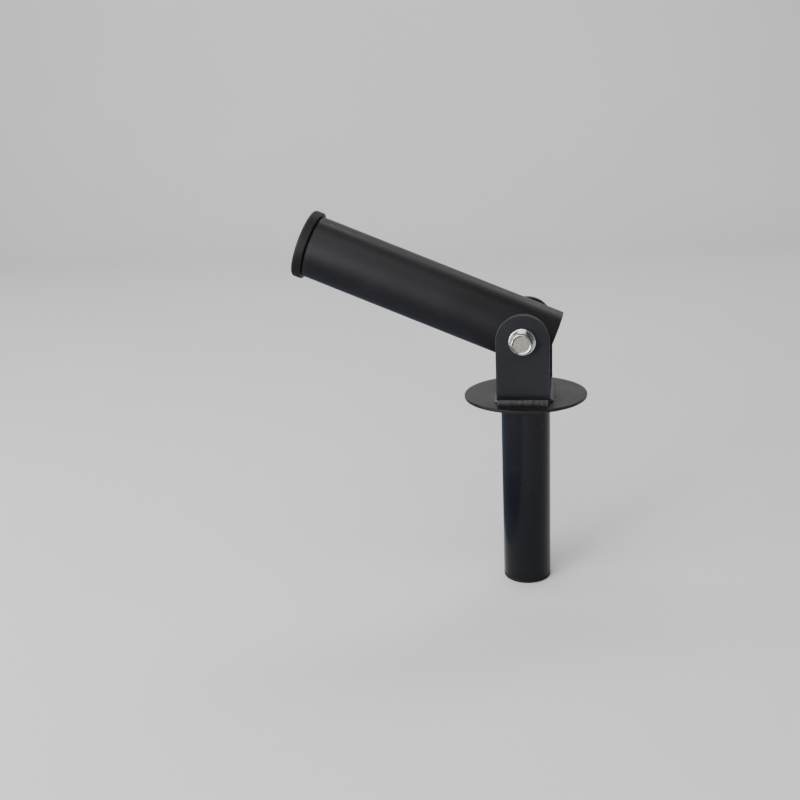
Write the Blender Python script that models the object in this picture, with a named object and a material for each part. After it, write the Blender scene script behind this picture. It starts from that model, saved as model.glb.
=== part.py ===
"""Barbell pivot attachment: a post that stands in a plate's bore, a clevis and a tilting receiver tube.

Metres, +Z up. The origin is the centre of the stop disc's underside, on the post's axis. The receiver's
mouth points to -X and upwards, and the pivot bolt lies along Y with its head at -Y.
"""

from math import cos, pi, radians, sin, sqrt, tan

import bmesh
import bpy
from mathutils import Matrix

# Fits between neighbours
FIT_GAP = 0.0003
RUNNING_GAP = 0.0003

# Stop disc and post
DISC_DIAMETER = 0.120
DISC_THICKNESS = 0.003
DISC_EDGE_ROUND = 0.0006
POST_DIAMETER = 0.0483
POST_WALL = 0.0032
POST_REACH = 0.195
POST_WELD_LEG = 0.003

# Plastic plug in the post's lower end
PLUG_FLANGE = 0.003
PLUG_DEPTH = 0.020
PLUG_WALL = 0.0025
PLUG_FIN_COUNT = 3
PLUG_FIN_REACH = 0.0022
PLUG_FIN_THICKNESS = 0.0012
PLUG_EDGE_ROUND = 0.0012

# Receiver tube, which takes the end of the bar
TUBE_DIAMETER = 0.060
TUBE_WALL = 0.003
TUBE_AHEAD = 0.220
TUBE_BEHIND = 0.0275
TUBE_END_CHAMFER = 0.0006
REST_TILT = radians(22.7)

# Flanged plastic bush in the tube's mouth
MOUTH_FLANGE_STEP = 0.0032
MOUTH_FLANGE_LENGTH = 0.0095
MOUTH_BUSH_WALL = 0.0010
MOUTH_SPIGOT_LENGTH = 0.025
MOUTH_FRONT_ROUND = 0.0022
MOUTH_REAR_ROUND = 0.0008
MOUTH_LEAD_IN = 0.0015

# Clevis bent from flat bar
PIVOT_HEIGHT = 0.062
BAR_WIDTH = 0.050
BAR_THICKNESS = 0.006
SIDE_ROOM = 0.009
BEND_RADIUS = 0.006
BAR_EDGE_ROUND = 0.0008

# Weld beads between the clevis and the disc
FOOT_BEAD_ROOT_ANGLE = radians(25)
FOOT_BEAD_TOP_ANGLE = radians(56)
FOOT_BEAD_TOE_INSET = 0.003
FOOT_BEAD_CROWN = 0.0008
FOOT_BEAD_END_INSET = 0.001
SIDE_BEAD_LEG = 0.0035

# How a bead's ends draw in: (share of the taper's length, share of the full section)
BEAD_END_TAPER = 0.003
BEAD_END_STATIONS = ((0.0, 0.45), (0.35, 0.8), (1.0, 1.0))

# How far a fillet's face stands out from its root, as a share of its leg: a half is flat
FILLET_FULLNESS = 0.57

# Pivot bolt, washer and lock nut
BOLT_DIAMETER = 0.012
HEAD_ACROSS_FLATS = 0.018
HEAD_HEIGHT = 0.0115
HEAD_FLANGE_DIAMETER = 0.026
HEAD_FLANGE_RIM = 0.0014
HEAD_FLANGE_RISE = 0.0028
BOLT_TIP = 0.003
BOLT_TIP_CHAMFER = 0.0010
WASHER_DIAMETER = 0.024
WASHER_THICKNESS = 0.0025
NUT_HEX_HEIGHT = 0.0085
NUT_COLLAR_HEIGHT = 0.0035
NUT_COLLAR_WALL = 0.0010
NUT_LIP = 0.0006
INSERT_WALL = 0.0009
HEX_FACE_INSET = 0.0004
HEX_CHAMFER_SLOPE = radians(30)

# Cross sleeve in the tube, with a bush in each end
SLEEVE_WALL = 0.0032
SLEEVE_WELD_LEG = 0.003
BUSH_WALL = 0.0027
BUSH_FLANGE_STEP = 0.005
BUSH_FLANGE = 0.002
BUSH_LENGTH = 0.020

# Facets, and how far a cutting shape reaches past what it cuts
LARGE_FACETS = 64
SMALL_FACETS = 32
ARC_STEPS = 6
SMALL_ARC_STEPS = 3
EAR_ARC_STEPS = 28
EDGE_ROUND_SEGMENTS = 2
SHARP_ANGLE = radians(35)
MERGE_DISTANCE = 1e-6
CUT_OVERRUN = 0.002

# Sizes that follow from those above
DISC_TOP = DISC_THICKNESS
POST_RADIUS = POST_DIAMETER / 2
POST_BORE = POST_RADIUS - POST_WALL
PIVOT_Z = DISC_TOP + PIVOT_HEIGHT
TUBE_RADIUS = TUBE_DIAMETER / 2
TUBE_BORE = TUBE_RADIUS - TUBE_WALL
EAR_INSIDE = TUBE_RADIUS + SIDE_ROOM
EAR_OUTSIDE = EAR_INSIDE + BAR_THICKNESS
BEND_OUTSIDE = BEND_RADIUS + BAR_THICKNESS
BEND_CENTRE_Y = EAR_OUTSIDE - BEND_OUTSIDE
FOOT_Z = DISC_TOP + FIT_GAP
BEND_CENTRE_Z = FOOT_Z + BEND_OUTSIDE
BOLT_RADIUS = BOLT_DIAMETER / 2
BOLT_HOLE = BOLT_RADIUS + FIT_GAP
BUSH_BORE = BOLT_RADIUS + RUNNING_GAP
BUSH_RADIUS = BUSH_BORE + BUSH_WALL
SLEEVE_BORE = BUSH_RADIUS + FIT_GAP
SLEEVE_RADIUS = SLEEVE_BORE + SLEEVE_WALL
BUSH_FACE = EAR_INSIDE - RUNNING_GAP
SLEEVE_END = BUSH_FACE - BUSH_FLANGE - FIT_GAP
NUT_SEAT = EAR_OUTSIDE + FIT_GAP + WASHER_THICKNESS + FIT_GAP
NUT_HEIGHT = NUT_HEX_HEIGHT + NUT_COLLAR_HEIGHT

TURN_FROM_X = {
    "X": Matrix.Identity(4),
    "Y": Matrix.Rotation(pi / 2, 4, "Z"),
    "Z": Matrix.Rotation(-pi / 2, 4, "Y"),
}

# Finishes: colour, roughness and metallic value
BLACK_COAT = ((0.018, 0.018, 0.020), 0.42, 0.0)
CHARCOAL_COAT = ((0.026, 0.026, 0.030), 0.50, 0.0)
GLOSS_BLACK = ((0.008, 0.008, 0.010), 0.18, 0.0)
BLACK_NYLON = ((0.020, 0.020, 0.020), 0.55, 0.0)
WHITE_NYLON = ((0.72, 0.70, 0.62), 0.50, 0.0)
BRIGHT_ZINC = ((0.70, 0.71, 0.70), 0.28, 1.0)
BARE_STEEL = ((0.42, 0.41, 0.39), 0.45, 1.0)


def clear_scene():
    for thing in list(bpy.data.objects):
        bpy.data.objects.remove(thing)


def finish(name, look):
    """A Principled material from a colour, a roughness and a metallic value."""
    colour, roughness, metallic = look
    material = bpy.data.materials.new(name + "_finish")
    material.use_nodes = True
    shader = material.node_tree.nodes["Principled BSDF"]
    shader.inputs["Base Color"].default_value = (*colour, 1.0)
    shader.inputs["Roughness"].default_value = roughness
    shader.inputs["Metallic"].default_value = metallic
    return material


def make_object(name, bm, look=None, parent=None):
    """Turns a bmesh into a smooth-shaded object, under its parent's frame where it has one."""
    bmesh.ops.recalc_face_normals(bm, faces=bm.faces)
    mesh = bpy.data.meshes.new(name)
    bm.to_mesh(mesh)
    bm.free()
    mesh.shade_smooth()
    mesh.set_sharp_from_angle(angle=SHARP_ANGLE)
    thing = bpy.data.objects.new(name, mesh)
    bpy.context.collection.objects.link(thing)
    thing.parent = parent
    if look:
        mesh.materials.append(finish(name, look))
    return thing


def as_cutter(thing):
    thing.hide_render = True
    thing.display_type = "WIRE"
    return thing


def add_boolean(target, cutter, operation):
    step = target.modifiers.new(operation.title(), "BOOLEAN")
    step.object = as_cutter(cutter)
    step.operation = operation
    step.solver = "EXACT"


def add_edge_round(target, width):
    step = target.modifiers.new("Edge round", "BEVEL")
    step.width = width
    step.segments = EDGE_ROUND_SEGMENTS
    step.limit_method = "ANGLE"
    step.angle_limit = SHARP_ANGLE


def arc(centre, radius, start, end, steps=ARC_STEPS):
    """Points on an arc in a plane, from one angle to the other."""
    turns = [start + (end - start) * i / steps for i in range(steps + 1)]
    return [(centre[0] + radius * cos(turn), centre[1] + radius * sin(turn)) for turn in turns]


def turned(profile, facets, axis="X", ring=True):
    """Spins (distance along the axis, radius) points. A ring's profile closes on itself."""
    bm = bmesh.new()
    verts = [bm.verts.new((along, 0, radius)) for along, radius in profile]
    edges = [bm.edges.new(pair) for pair in zip(verts, verts[1:])]
    if ring:
        edges.append(bm.edges.new((verts[-1], verts[0])))
    bmesh.ops.spin(bm, geom=verts + edges, cent=(0, 0, 0), axis=(1, 0, 0), angle=2 * pi, steps=facets)
    bmesh.ops.remove_doubles(bm, verts=bm.verts, dist=MERGE_DISTANCE)
    bmesh.ops.transform(bm, matrix=TURN_FROM_X[axis], verts=bm.verts)
    return bm


def lofted(sections, closed=False):
    """Joins equal rings of points with quads, and caps both ends or closes the last on the first."""
    bm = bmesh.new()
    rings = [[bm.verts.new(point) for point in section] for section in sections]
    pairs = list(zip(rings, rings[1:]))
    if closed:
        pairs.append((rings[-1], rings[0]))
    else:
        bm.faces.new(rings[0])
        bm.faces.new(rings[-1])
    for near, far in pairs:
        for i in range(len(near)):
            j = (i + 1) % len(near)
            bm.faces.new((near[i], near[j], far[j], far[i]))
    return bm


def extruded(outline, start, end, place):
    """Extrudes an outline from start to end. place turns (u, v, depth) into X, Y and Z."""
    return lofted([[place(u, v, depth) for u, v in outline] for depth in (start, end)])


def on_pivot(*things):
    """Lifts what was made about Y to the bolt's axis."""
    for thing in things:
        thing.location.z = PIVOT_Z


def hexagon(name, across_flats, inner, outer, look=None):
    """A hexagonal prism along Y whose corners are turned off at its outer end."""
    corner = across_flats / 2 / cos(pi / 6)
    outline = [(corner * cos(pi / 3 * i), corner * sin(pi / 3 * i)) for i in range(6)]
    prism = make_object(name, extruded(outline, inner, outer, lambda x, z, y: (x, y, z)), look)

    outwards = 1 if outer > inner else -1
    face_radius = across_flats / 2 - HEX_FACE_INSET
    wide = corner + CUT_OVERRUN
    shoulder = outer - outwards * (wide - face_radius) * tan(HEX_CHAMFER_SLOPE)
    back = inner - outwards * CUT_OVERRUN
    cone = [(outer, 0), (outer, face_radius), (shoulder, wide), (back, wide), (back, 0)]
    turning = make_object(name + "_chamfer_guide", turned(cone, SMALL_FACETS, "Y", ring=False))
    add_boolean(prism, turning, "INTERSECT")
    on_pivot(prism, turning)
    return prism


def make_disc():
    inset = DISC_DIAMETER / 2 - DISC_EDGE_ROUND
    lower = arc((DISC_EDGE_ROUND, inset), DISC_EDGE_ROUND, pi, pi / 2, SMALL_ARC_STEPS)
    upper = arc((DISC_TOP - DISC_EDGE_ROUND, inset), DISC_EDGE_ROUND, pi / 2, 0, SMALL_ARC_STEPS)
    profile = [(0, 0)] + lower + upper + [(DISC_TOP, 0)]
    make_object("base_disc", turned(profile, LARGE_FACETS, "Z", ring=False), BLACK_COAT)


def make_post():
    """The post hangs from the disc on a fillet weld, and ends on the plug's flange."""
    top = -FIT_GAP
    bottom = -POST_REACH + PLUG_FLANGE + FIT_GAP
    profile = [(top, POST_BORE), (top, POST_RADIUS), (bottom, POST_RADIUS), (bottom, POST_BORE)]
    make_object("post_tube", turned(profile, LARGE_FACETS, "Z"), GLOSS_BLACK)

    inside = POST_RADIUS + FIT_GAP
    face = POST_WELD_LEG * FILLET_FULLNESS
    bead = [
        (top, inside),
        (top, inside + POST_WELD_LEG),
        (top - face, inside + face),
        (top - POST_WELD_LEG, inside),
    ]
    make_object("post_weld", turned(bead, LARGE_FACETS, "Z"), GLOSS_BLACK)


def make_post_plug():
    """A cup with grip fins: its flange covers the post's end and is what stands on the floor."""
    floor = -POST_REACH
    shelf = floor + PLUG_FLANGE
    rim = shelf + PLUG_DEPTH
    fin_tip = POST_BORE - FIT_GAP
    core = fin_tip - PLUG_FIN_REACH
    hollow = core - PLUG_WALL
    pitch = PLUG_DEPTH / (PLUG_FIN_COUNT + 1)
    corner = (floor + PLUG_EDGE_ROUND, POST_RADIUS - PLUG_EDGE_ROUND)
    profile = [(floor, 0)] + arc(corner, PLUG_EDGE_ROUND, pi, pi / 2, SMALL_ARC_STEPS)
    profile += [(shelf, POST_RADIUS), (shelf, core)]
    for i in range(PLUG_FIN_COUNT):
        lower = shelf + pitch * (i + 1) - PLUG_FIN_THICKNESS / 2
        upper = lower + PLUG_FIN_THICKNESS
        profile += [(lower, core), (lower, fin_tip), (upper, fin_tip), (upper, core)]
    profile += [(rim, core), (rim, hollow), (shelf, hollow), (shelf, 0)]
    make_object("post_end_plug", turned(profile, SMALL_FACETS, "Z", ring=False), BLACK_NYLON)


def clevis_section():
    """The bent bar seen along X, as (Y, Z) points: down the outside, across and up, then back inside."""
    above = PIVOT_Z + BAR_WIDTH
    near = (-BEND_CENTRE_Y, BEND_CENTRE_Z)
    far = (BEND_CENTRE_Y, BEND_CENTRE_Z)
    outside = [(-EAR_OUTSIDE, above)]
    outside += arc(near, BEND_OUTSIDE, pi, pi * 1.5)
    outside += arc(far, BEND_OUTSIDE, pi * 1.5, pi * 2)
    outside += [(EAR_OUTSIDE, above)]
    inside = [(EAR_INSIDE, above)]
    inside += arc(far, BEND_RADIUS, pi * 2, pi * 1.5)
    inside += arc(near, BEND_RADIUS, pi * 1.5, pi)
    inside += [(-EAR_INSIDE, above)]
    return outside + inside


def make_clevis():
    """Flat bar bent into a U, cut to full-radius ears about the bolt and drilled for it."""
    half = BAR_WIDTH / 2
    blank = half + CUT_OVERRUN
    bm = extruded(clevis_section(), -blank, blank, lambda y, z, x: (x, y, z))
    clevis = make_object("clevis_bracket", bm, CHARCOAL_COAT)

    below = FOOT_Z - CUT_OVERRUN
    across = EAR_OUTSIDE + CUT_OVERRUN
    outline = [(half, below)] + arc((0, PIVOT_Z), half, 0, pi, EAR_ARC_STEPS) + [(-half, below)]
    bm = extruded(outline, -across, across, lambda x, z, y: (x, y, z))
    ears = make_object("clevis_outline_guide", bm)
    add_boolean(clevis, ears, "INTERSECT")

    drill = [(-across, 0), (-across, BOLT_HOLE), (across, BOLT_HOLE), (across, 0)]
    bit = make_object("clevis_drill_guide", turned(drill, SMALL_FACETS, "Y", ring=False))
    on_pivot(bit)
    add_boolean(clevis, bit, "DIFFERENCE")
    add_edge_round(clevis, BAR_EDGE_ROUND)


def bead_stations(half_length):
    """(place, share of the full section) along a bead whose ends draw in."""
    start = [(BEAD_END_TAPER * share - half_length, size) for share, size in BEAD_END_STATIONS]
    return start + [(-place, size) for place, size in reversed(start)]


def foot_bead_section(size):
    """The bead in the wedge under a bend, as (outwards, Z) points. size draws its face in."""
    top = FOOT_BEAD_ROOT_ANGLE + (FOOT_BEAD_TOP_ANGLE - FOOT_BEAD_ROOT_ANGLE) * size
    middle = (BEND_CENTRE_Y, BEND_CENTRE_Z)
    along_bend = arc(middle, BEND_OUTSIDE + FIT_GAP, FOOT_BEAD_ROOT_ANGLE - pi / 2, top - pi / 2)
    root = along_bend[0][0]
    upper = along_bend[-1]
    toe = root + (EAR_OUTSIDE - FOOT_BEAD_TOE_INSET - root) * size
    crown = ((upper[0] + toe) / 2 + FOOT_BEAD_CROWN * size, (upper[1] + FOOT_Z) / 2)
    return [(root, FOOT_Z)] + along_bend + [crown, (toe, FOOT_Z)]


def make_foot_bead(name, side):
    sections = []
    for x, size in bead_stations(BAR_WIDTH / 2 - FOOT_BEAD_END_INSET):
        sections.append([(x, side * outwards, z) for outwards, z in foot_bead_section(size)])
    make_object(name, lofted(sections), CHARCOAL_COAT)


def make_side_bead(name, side):
    """A fillet along the floor of the clevis, on the disc, between the two bends."""
    root = BAR_WIDTH / 2 + FIT_GAP
    sections = []
    for y, size in bead_stations(BEND_CENTRE_Y):
        leg = SIDE_BEAD_LEG * size
        face = leg * FILLET_FULLNESS
        section = [(0, 0), (0, leg), (face, face), (leg, 0)]
        sections.append([(side * (root + outwards), y, FOOT_Z + rise) for outwards, rise in section])
    make_object(name, lofted(sections), CHARCOAL_COAT)


def make_bolt():
    """A hexagon flange bolt: shank and flange are turned, and the hexagon is joined on."""
    seat = -EAR_OUTSIDE - FIT_GAP
    tip = NUT_SEAT + NUT_HEIGHT + BOLT_TIP
    rim_round = HEAD_FLANGE_RIM / 2
    rim_centre = (seat - rim_round, HEAD_FLANGE_DIAMETER / 2 - rim_round)
    cone_top = seat - HEAD_FLANGE_RIM - HEAD_FLANGE_RISE
    turning = [(cone_top, 0), (cone_top, HEAD_ACROSS_FLATS / 2 - HEX_FACE_INSET)]
    turning += arc(rim_centre, rim_round, pi, 0)
    turning += [
        (seat, BOLT_RADIUS),
        (tip - BOLT_TIP_CHAMFER, BOLT_RADIUS),
        (tip, BOLT_RADIUS - BOLT_TIP_CHAMFER),
        (tip, 0),
    ]
    bolt = make_object("pivot_bolt", turned(turning, SMALL_FACETS, "Y", ring=False), BRIGHT_ZINC)
    on_pivot(bolt)
    head = hexagon("bolt_head_guide", HEAD_ACROSS_FLATS, seat - HEAD_FLANGE_RIM, seat - HEAD_HEIGHT)
    add_boolean(bolt, head, "UNION")


def make_washer():
    start = EAR_OUTSIDE + FIT_GAP
    end = start + WASHER_THICKNESS
    radius = WASHER_DIAMETER / 2
    profile = [(start, BOLT_HOLE), (start, radius), (end, radius), (end, BOLT_HOLE)]
    on_pivot(make_object("nut_washer", turned(profile, SMALL_FACETS, "Y"), BRIGHT_ZINC))


def make_lock_nut():
    """A hexagon nut whose turned collar is rolled in over a plastic ring that grips the thread."""
    top = NUT_SEAT + NUT_HEIGHT
    shoulder = NUT_SEAT + NUT_HEX_HEIGHT
    under_lip = top - NUT_LIP
    ring_edge = BOLT_HOLE + INSERT_WALL
    recess = ring_edge + FIT_GAP
    collar = recess + NUT_COLLAR_WALL

    nut = hexagon("lock_nut", HEAD_ACROSS_FLATS, NUT_SEAT, shoulder, BRIGHT_ZINC)
    crown = [
        (NUT_SEAT + CUT_OVERRUN, 0),
        (NUT_SEAT + CUT_OVERRUN, collar),
        (under_lip, collar),
        (top, collar - NUT_LIP),
        (top, 0),
    ]
    cap = make_object("lock_nut_collar_guide", turned(crown, SMALL_FACETS, "Y", ring=False))
    bore = [
        (NUT_SEAT - CUT_OVERRUN, 0),
        (NUT_SEAT - CUT_OVERRUN, BOLT_HOLE),
        (shoulder, BOLT_HOLE),
        (shoulder, recess),
        (under_lip, recess),
        (under_lip, recess - NUT_LIP),
        (top + CUT_OVERRUN, recess - NUT_LIP),
        (top + CUT_OVERRUN, 0),
    ]
    drill = make_object("lock_nut_bore_guide", turned(bore, SMALL_FACETS, "Y", ring=False))
    add_boolean(nut, cap, "UNION")
    add_boolean(nut, drill, "DIFFERENCE")

    start = shoulder + FIT_GAP
    end = under_lip - FIT_GAP
    ring = [(start, BOLT_HOLE), (start, ring_edge), (end, ring_edge), (end, BOLT_HOLE)]
    insert = make_object("lock_nut_insert", turned(ring, SMALL_FACETS, "Y"), WHITE_NYLON)
    on_pivot(cap, drill, insert)


def make_receiver(tilting):
    """The tube, with a cross hole for the sleeve. Its axis runs along -X in the tilting frame."""
    chamfer = TUBE_END_CHAMFER
    profile = [
        (-TUBE_AHEAD, TUBE_BORE),
        (-TUBE_AHEAD, TUBE_RADIUS - chamfer),
        (-TUBE_AHEAD + chamfer, TUBE_RADIUS),
        (TUBE_BEHIND - chamfer, TUBE_RADIUS),
        (TUBE_BEHIND, TUBE_RADIUS - chamfer),
        (TUBE_BEHIND, TUBE_BORE),
    ]
    tube = make_object("receiver_tube", turned(profile, LARGE_FACETS), BLACK_COAT, tilting)
    reach = TUBE_RADIUS + CUT_OVERRUN
    hole = SLEEVE_RADIUS + FIT_GAP
    drill = [(-reach, 0), (-reach, hole), (reach, hole), (reach, 0)]
    bit = make_object("receiver_drill_guide", turned(drill, SMALL_FACETS, "Y", ring=False), parent=tilting)
    add_boolean(tube, bit, "DIFFERENCE")


def make_mouth_bush(tilting):
    """A flanged bush: its spigot lines the mouth, and its flange covers the tube's end."""
    seat = -TUBE_AHEAD - FIT_GAP
    front = seat - MOUTH_FLANGE_LENGTH
    flange = TUBE_RADIUS + MOUTH_FLANGE_STEP
    spigot = TUBE_BORE - FIT_GAP
    bore = spigot - MOUTH_BUSH_WALL
    inner_end = seat + MOUTH_SPIGOT_LENGTH
    big = MOUTH_FRONT_ROUND
    small = MOUTH_REAR_ROUND
    profile = [(inner_end, bore), (inner_end, spigot), (seat, spigot)]
    profile += arc((seat - small, flange - small), small, 0, pi / 2, SMALL_ARC_STEPS)
    profile += arc((front + big, flange - big), big, pi / 2, pi)
    profile += [(front, bore + MOUTH_LEAD_IN), (front + MOUTH_LEAD_IN, bore)]
    make_object("mouth_bush", turned(profile, LARGE_FACETS), BLACK_NYLON, tilting)


def make_sleeve(tilting):
    near = -SLEEVE_END
    far = SLEEVE_END
    profile = [(near, SLEEVE_BORE), (near, SLEEVE_RADIUS), (far, SLEEVE_RADIUS), (far, SLEEVE_BORE)]
    make_object("pivot_sleeve", turned(profile, SMALL_FACETS, "Y"), BARE_STEEL, tilting)


def saddle(radius, turn):
    """How far out the tube's surface lies, at a radius and an angle about the cross sleeve."""
    across = radius * sin(turn)
    return sqrt((TUBE_RADIUS + FIT_GAP) ** 2 - across ** 2)


def make_sleeve_weld(name, side, tilting):
    """A fillet round the sleeve that follows the saddle where it leaves the tube."""
    inside = SLEEVE_RADIUS + FIT_GAP
    leg = SLEEVE_WELD_LEG
    face = leg * FILLET_FULLNESS
    sections = []
    for i in range(SMALL_FACETS):
        turn = 2 * pi * i / SMALL_FACETS
        section = []
        for step_out, rise in ((0, 0), (0, leg), (face, face), (leg, 0)):
            radius = inside + step_out
            outwards = saddle(radius, turn) + rise
            section.append((radius * cos(turn), side * outwards, radius * sin(turn)))
        sections.append(section)
    make_object(name, lofted(sections, closed=True), BLACK_COAT, tilting)


def make_bush(name, side, tilting):
    """A plastic bush whose flange runs between the sleeve's end and the ear."""
    outer = side * BUSH_FACE
    seat = side * (BUSH_FACE - BUSH_FLANGE)
    inner = side * (BUSH_FACE - BUSH_FLANGE - BUSH_LENGTH)
    flange = BUSH_RADIUS + BUSH_FLANGE_STEP
    profile = [
        (inner, BUSH_BORE),
        (inner, BUSH_RADIUS),
        (seat, BUSH_RADIUS),
        (seat, flange),
        (outer, flange),
        (outer, BUSH_BORE),
    ]
    make_object(name, turned(profile, SMALL_FACETS, "Y"), WHITE_NYLON, tilting)


def make_tilting_frame():
    """The empty on the bolt's axis that carries all that tilts."""
    frame = bpy.data.objects.new("tube_pivot", None)
    bpy.context.collection.objects.link(frame)
    on_pivot(frame)
    frame.rotation_euler.y = REST_TILT
    return frame


def main():
    clear_scene()
    make_disc()
    make_post()
    make_post_plug()
    make_clevis()
    for name, side in (("near", -1), ("far", 1)):
        make_foot_bead("bracket_weld_" + name, side)
    for name, side in (("left", -1), ("right", 1)):
        make_side_bead("bracket_weld_" + name, side)
    make_bolt()
    make_washer()
    make_lock_nut()

    tilting = make_tilting_frame()
    make_receiver(tilting)
    make_mouth_bush(tilting)
    make_sleeve(tilting)
    for name, side in (("near", -1), ("far", 1)):
        make_sleeve_weld("sleeve_weld_" + name, side, tilting)
        make_bush("pivot_bush_" + name, side, tilting)


main()
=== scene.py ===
"""Looks of the barbell pivot attachment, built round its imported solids.

Metres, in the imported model's own frame: +Z up, the centre of the stop disc's underside at the origin, the
pivot bolt along Y with its head at -Y, and the receiver's mouth towards -X and upwards.
"""

import logging
from abc import ABC, abstractmethod
from dataclasses import dataclass, field, replace
from enum import Enum
from math import pi, radians, tan
from typing import Any, Sequence

import bmesh
import bpy
import numpy as np
from mathutils import Matrix, Vector
from numpy.typing import NDArray


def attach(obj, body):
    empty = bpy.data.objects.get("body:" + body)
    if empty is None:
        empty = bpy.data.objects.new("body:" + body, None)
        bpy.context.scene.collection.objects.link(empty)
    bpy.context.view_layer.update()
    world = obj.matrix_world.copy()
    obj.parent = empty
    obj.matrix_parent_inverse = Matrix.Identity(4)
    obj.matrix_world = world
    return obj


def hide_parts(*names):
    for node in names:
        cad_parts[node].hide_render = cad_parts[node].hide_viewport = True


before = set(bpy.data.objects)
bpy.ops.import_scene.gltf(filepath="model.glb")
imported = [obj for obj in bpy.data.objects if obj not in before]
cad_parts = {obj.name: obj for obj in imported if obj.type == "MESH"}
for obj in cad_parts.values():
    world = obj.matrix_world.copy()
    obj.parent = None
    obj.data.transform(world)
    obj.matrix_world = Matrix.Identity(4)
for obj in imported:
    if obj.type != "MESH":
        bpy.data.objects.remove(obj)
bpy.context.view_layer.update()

LOG = logging.getLogger("pivot_looks")

Array = NDArray[np.float64]
Triple = tuple[float, float, float]
Band = tuple[float, ...]
Joins = dict[Any, Any]
Socket = bpy.types.NodeSocket
Thing = bpy.types.Object

MERGE_DISTANCE = 2e-6
SHARP_ANGLE = radians(38)
EDGE_ANGLES = (radians(5), radians(14))
BEVEL_STEPS = 4
ARC_STEPS = 6
ARC_SUPPORT = 0.35
HEXAGON_CRISPNESS = 30.0
FULL_TURN = 2 * pi
TINY_ANGLE = 1e-6
TINY = 1e-9
BEAD_SEAT = 0.00004
BEAD_TIP = 0.01


class Body(Enum):
    """The two bodies that the pivot joins."""

    BASE = "base"
    RECEIVER = "receiver"


class Slot(Enum):
    """The record's material slots."""

    SATIN = "satin_black_coat"
    CHARCOAL = "charcoal_coat"
    GLOSS = "gloss_black_paint"
    MOULDED = "black_plastic"
    NYLON = "pale_nylon"
    ZINC = "bright_zinc"
    STEEL = "bare_steel"


class Axis(Enum):
    """The axis that a turned piece spins about: how many places (along, across, across) is rolled on."""

    X = 0
    Y = 1
    Z = 2


class Paired(Enum):
    """Two opposite sides, as signs."""

    @property
    def word(self) -> str:
        """The side as pieces and nodes are named for it."""
        return self.name.lower()


class Side(Paired):
    """Which side of the tube a paired piece is on. The bolt's head is on the near side."""

    NEAR = -1
    FAR = 1


class Hand(Paired):
    """Which long edge of the clevis's floor a bead is on, seen from the bolt's head."""

    LEFT = -1
    RIGHT = 1


@dataclass(frozen=True)
class Datum:
    """Sizes at which one sub-assembly meets another."""

    gap: float = 0.0003
    disc_top: float = 0.003
    post_radius: float = 0.02415
    pivot_height: float = 0.065
    rest_tilt: float = radians(22.7)
    tube_radius: float = 0.030
    tube_bore: float = 0.027
    tube_ahead: float = 0.220
    ear_outside: float = 0.045
    bolt_radius: float = 0.006
    bolt_hole: float = 0.0063
    nut_seat: float = 0.0481
    sleeve_radius: float = 0.0125
    sleeve_bore: float = 0.0093
    bush_radius: float = 0.009


@dataclass(frozen=True)
class EdgeRound:
    """Radii that a profile's corners are rounded to, from as good as sharp to soft."""

    crisp: float = 0.0001
    fine: float = 0.0002
    light: float = 0.0003
    plain: float = 0.0004
    soft: float = 0.0005


DATUM = Datum()
EDGE = EdgeRound()


@dataclass(frozen=True)
class Placement:
    """Where a piece's own frame stands: its centre, and how far it is tilted about Y."""

    centre: Triple = (0.0, 0.0, 0.0)
    tilt: float = 0.0

    def lay(self, points: Array) -> Array:
        """Turns points about Y by the tilt and then moves them to the centre."""
        turn = np.array(Matrix.Rotation(self.tilt, 3, "Y"))
        return points @ turn.T + np.array(self.centre)


AT_ORIGIN = Placement()
ON_BOLT = Placement((0.0, 0.0, DATUM.pivot_height))
ON_TUBE = replace(ON_BOLT, tilt=DATUM.rest_tilt)


def circle(columns: int) -> Array:
    """Evenly spaced angles of a full turn, without its end."""
    return np.linspace(0, FULL_TURN, columns, endpoint=False)


def unit(vectors: Array) -> Array:
    """Vectors made one long."""
    return vectors / np.maximum(np.linalg.norm(vectors, axis=-1, keepdims=True), TINY)


def as_rows(values: Any) -> Array:
    """Values one to a row, or rows by columns as they are."""
    return np.atleast_2d(np.asarray(values, float).T).T


def square_side(half_width: float, columns: int) -> Array:
    """Places along a square's side, evenly spaced as seen from its centre: half the width * a tangent."""
    return half_width * np.tan(np.linspace(-pi / 4, pi / 4, columns + 1))


def square_radius(turn: Array, half_width: float) -> Array:
    """How far a square's side lies from its centre: half the width / the larger of |cosine| and |sine|."""
    return half_width / np.maximum(np.abs(np.cos(turn)), np.abs(np.sin(turn)))


def hexagon_radius(turn: Array, across_flats: float) -> Array:
    """How far a hexagon's side lies from its centre.

    Each flat alone would be half the width across flats / cosine of the turn from its middle. The six are
    joined by adding their inverses at a high power, which leaves the corners a little round.

    Args:
        turn: angle about the axis, where a flat's middle is at 0.
        across_flats: width from flat to flat.

    Returns:
        The radius at each angle.
    """
    facing = np.maximum(np.cos(turn[..., None] - np.arange(6) * pi / 3), 0.0)
    return across_flats / 2 / np.sum(facing**HEXAGON_CRISPNESS, axis=-1) ** (1 / HEXAGON_CRISPNESS)


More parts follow.
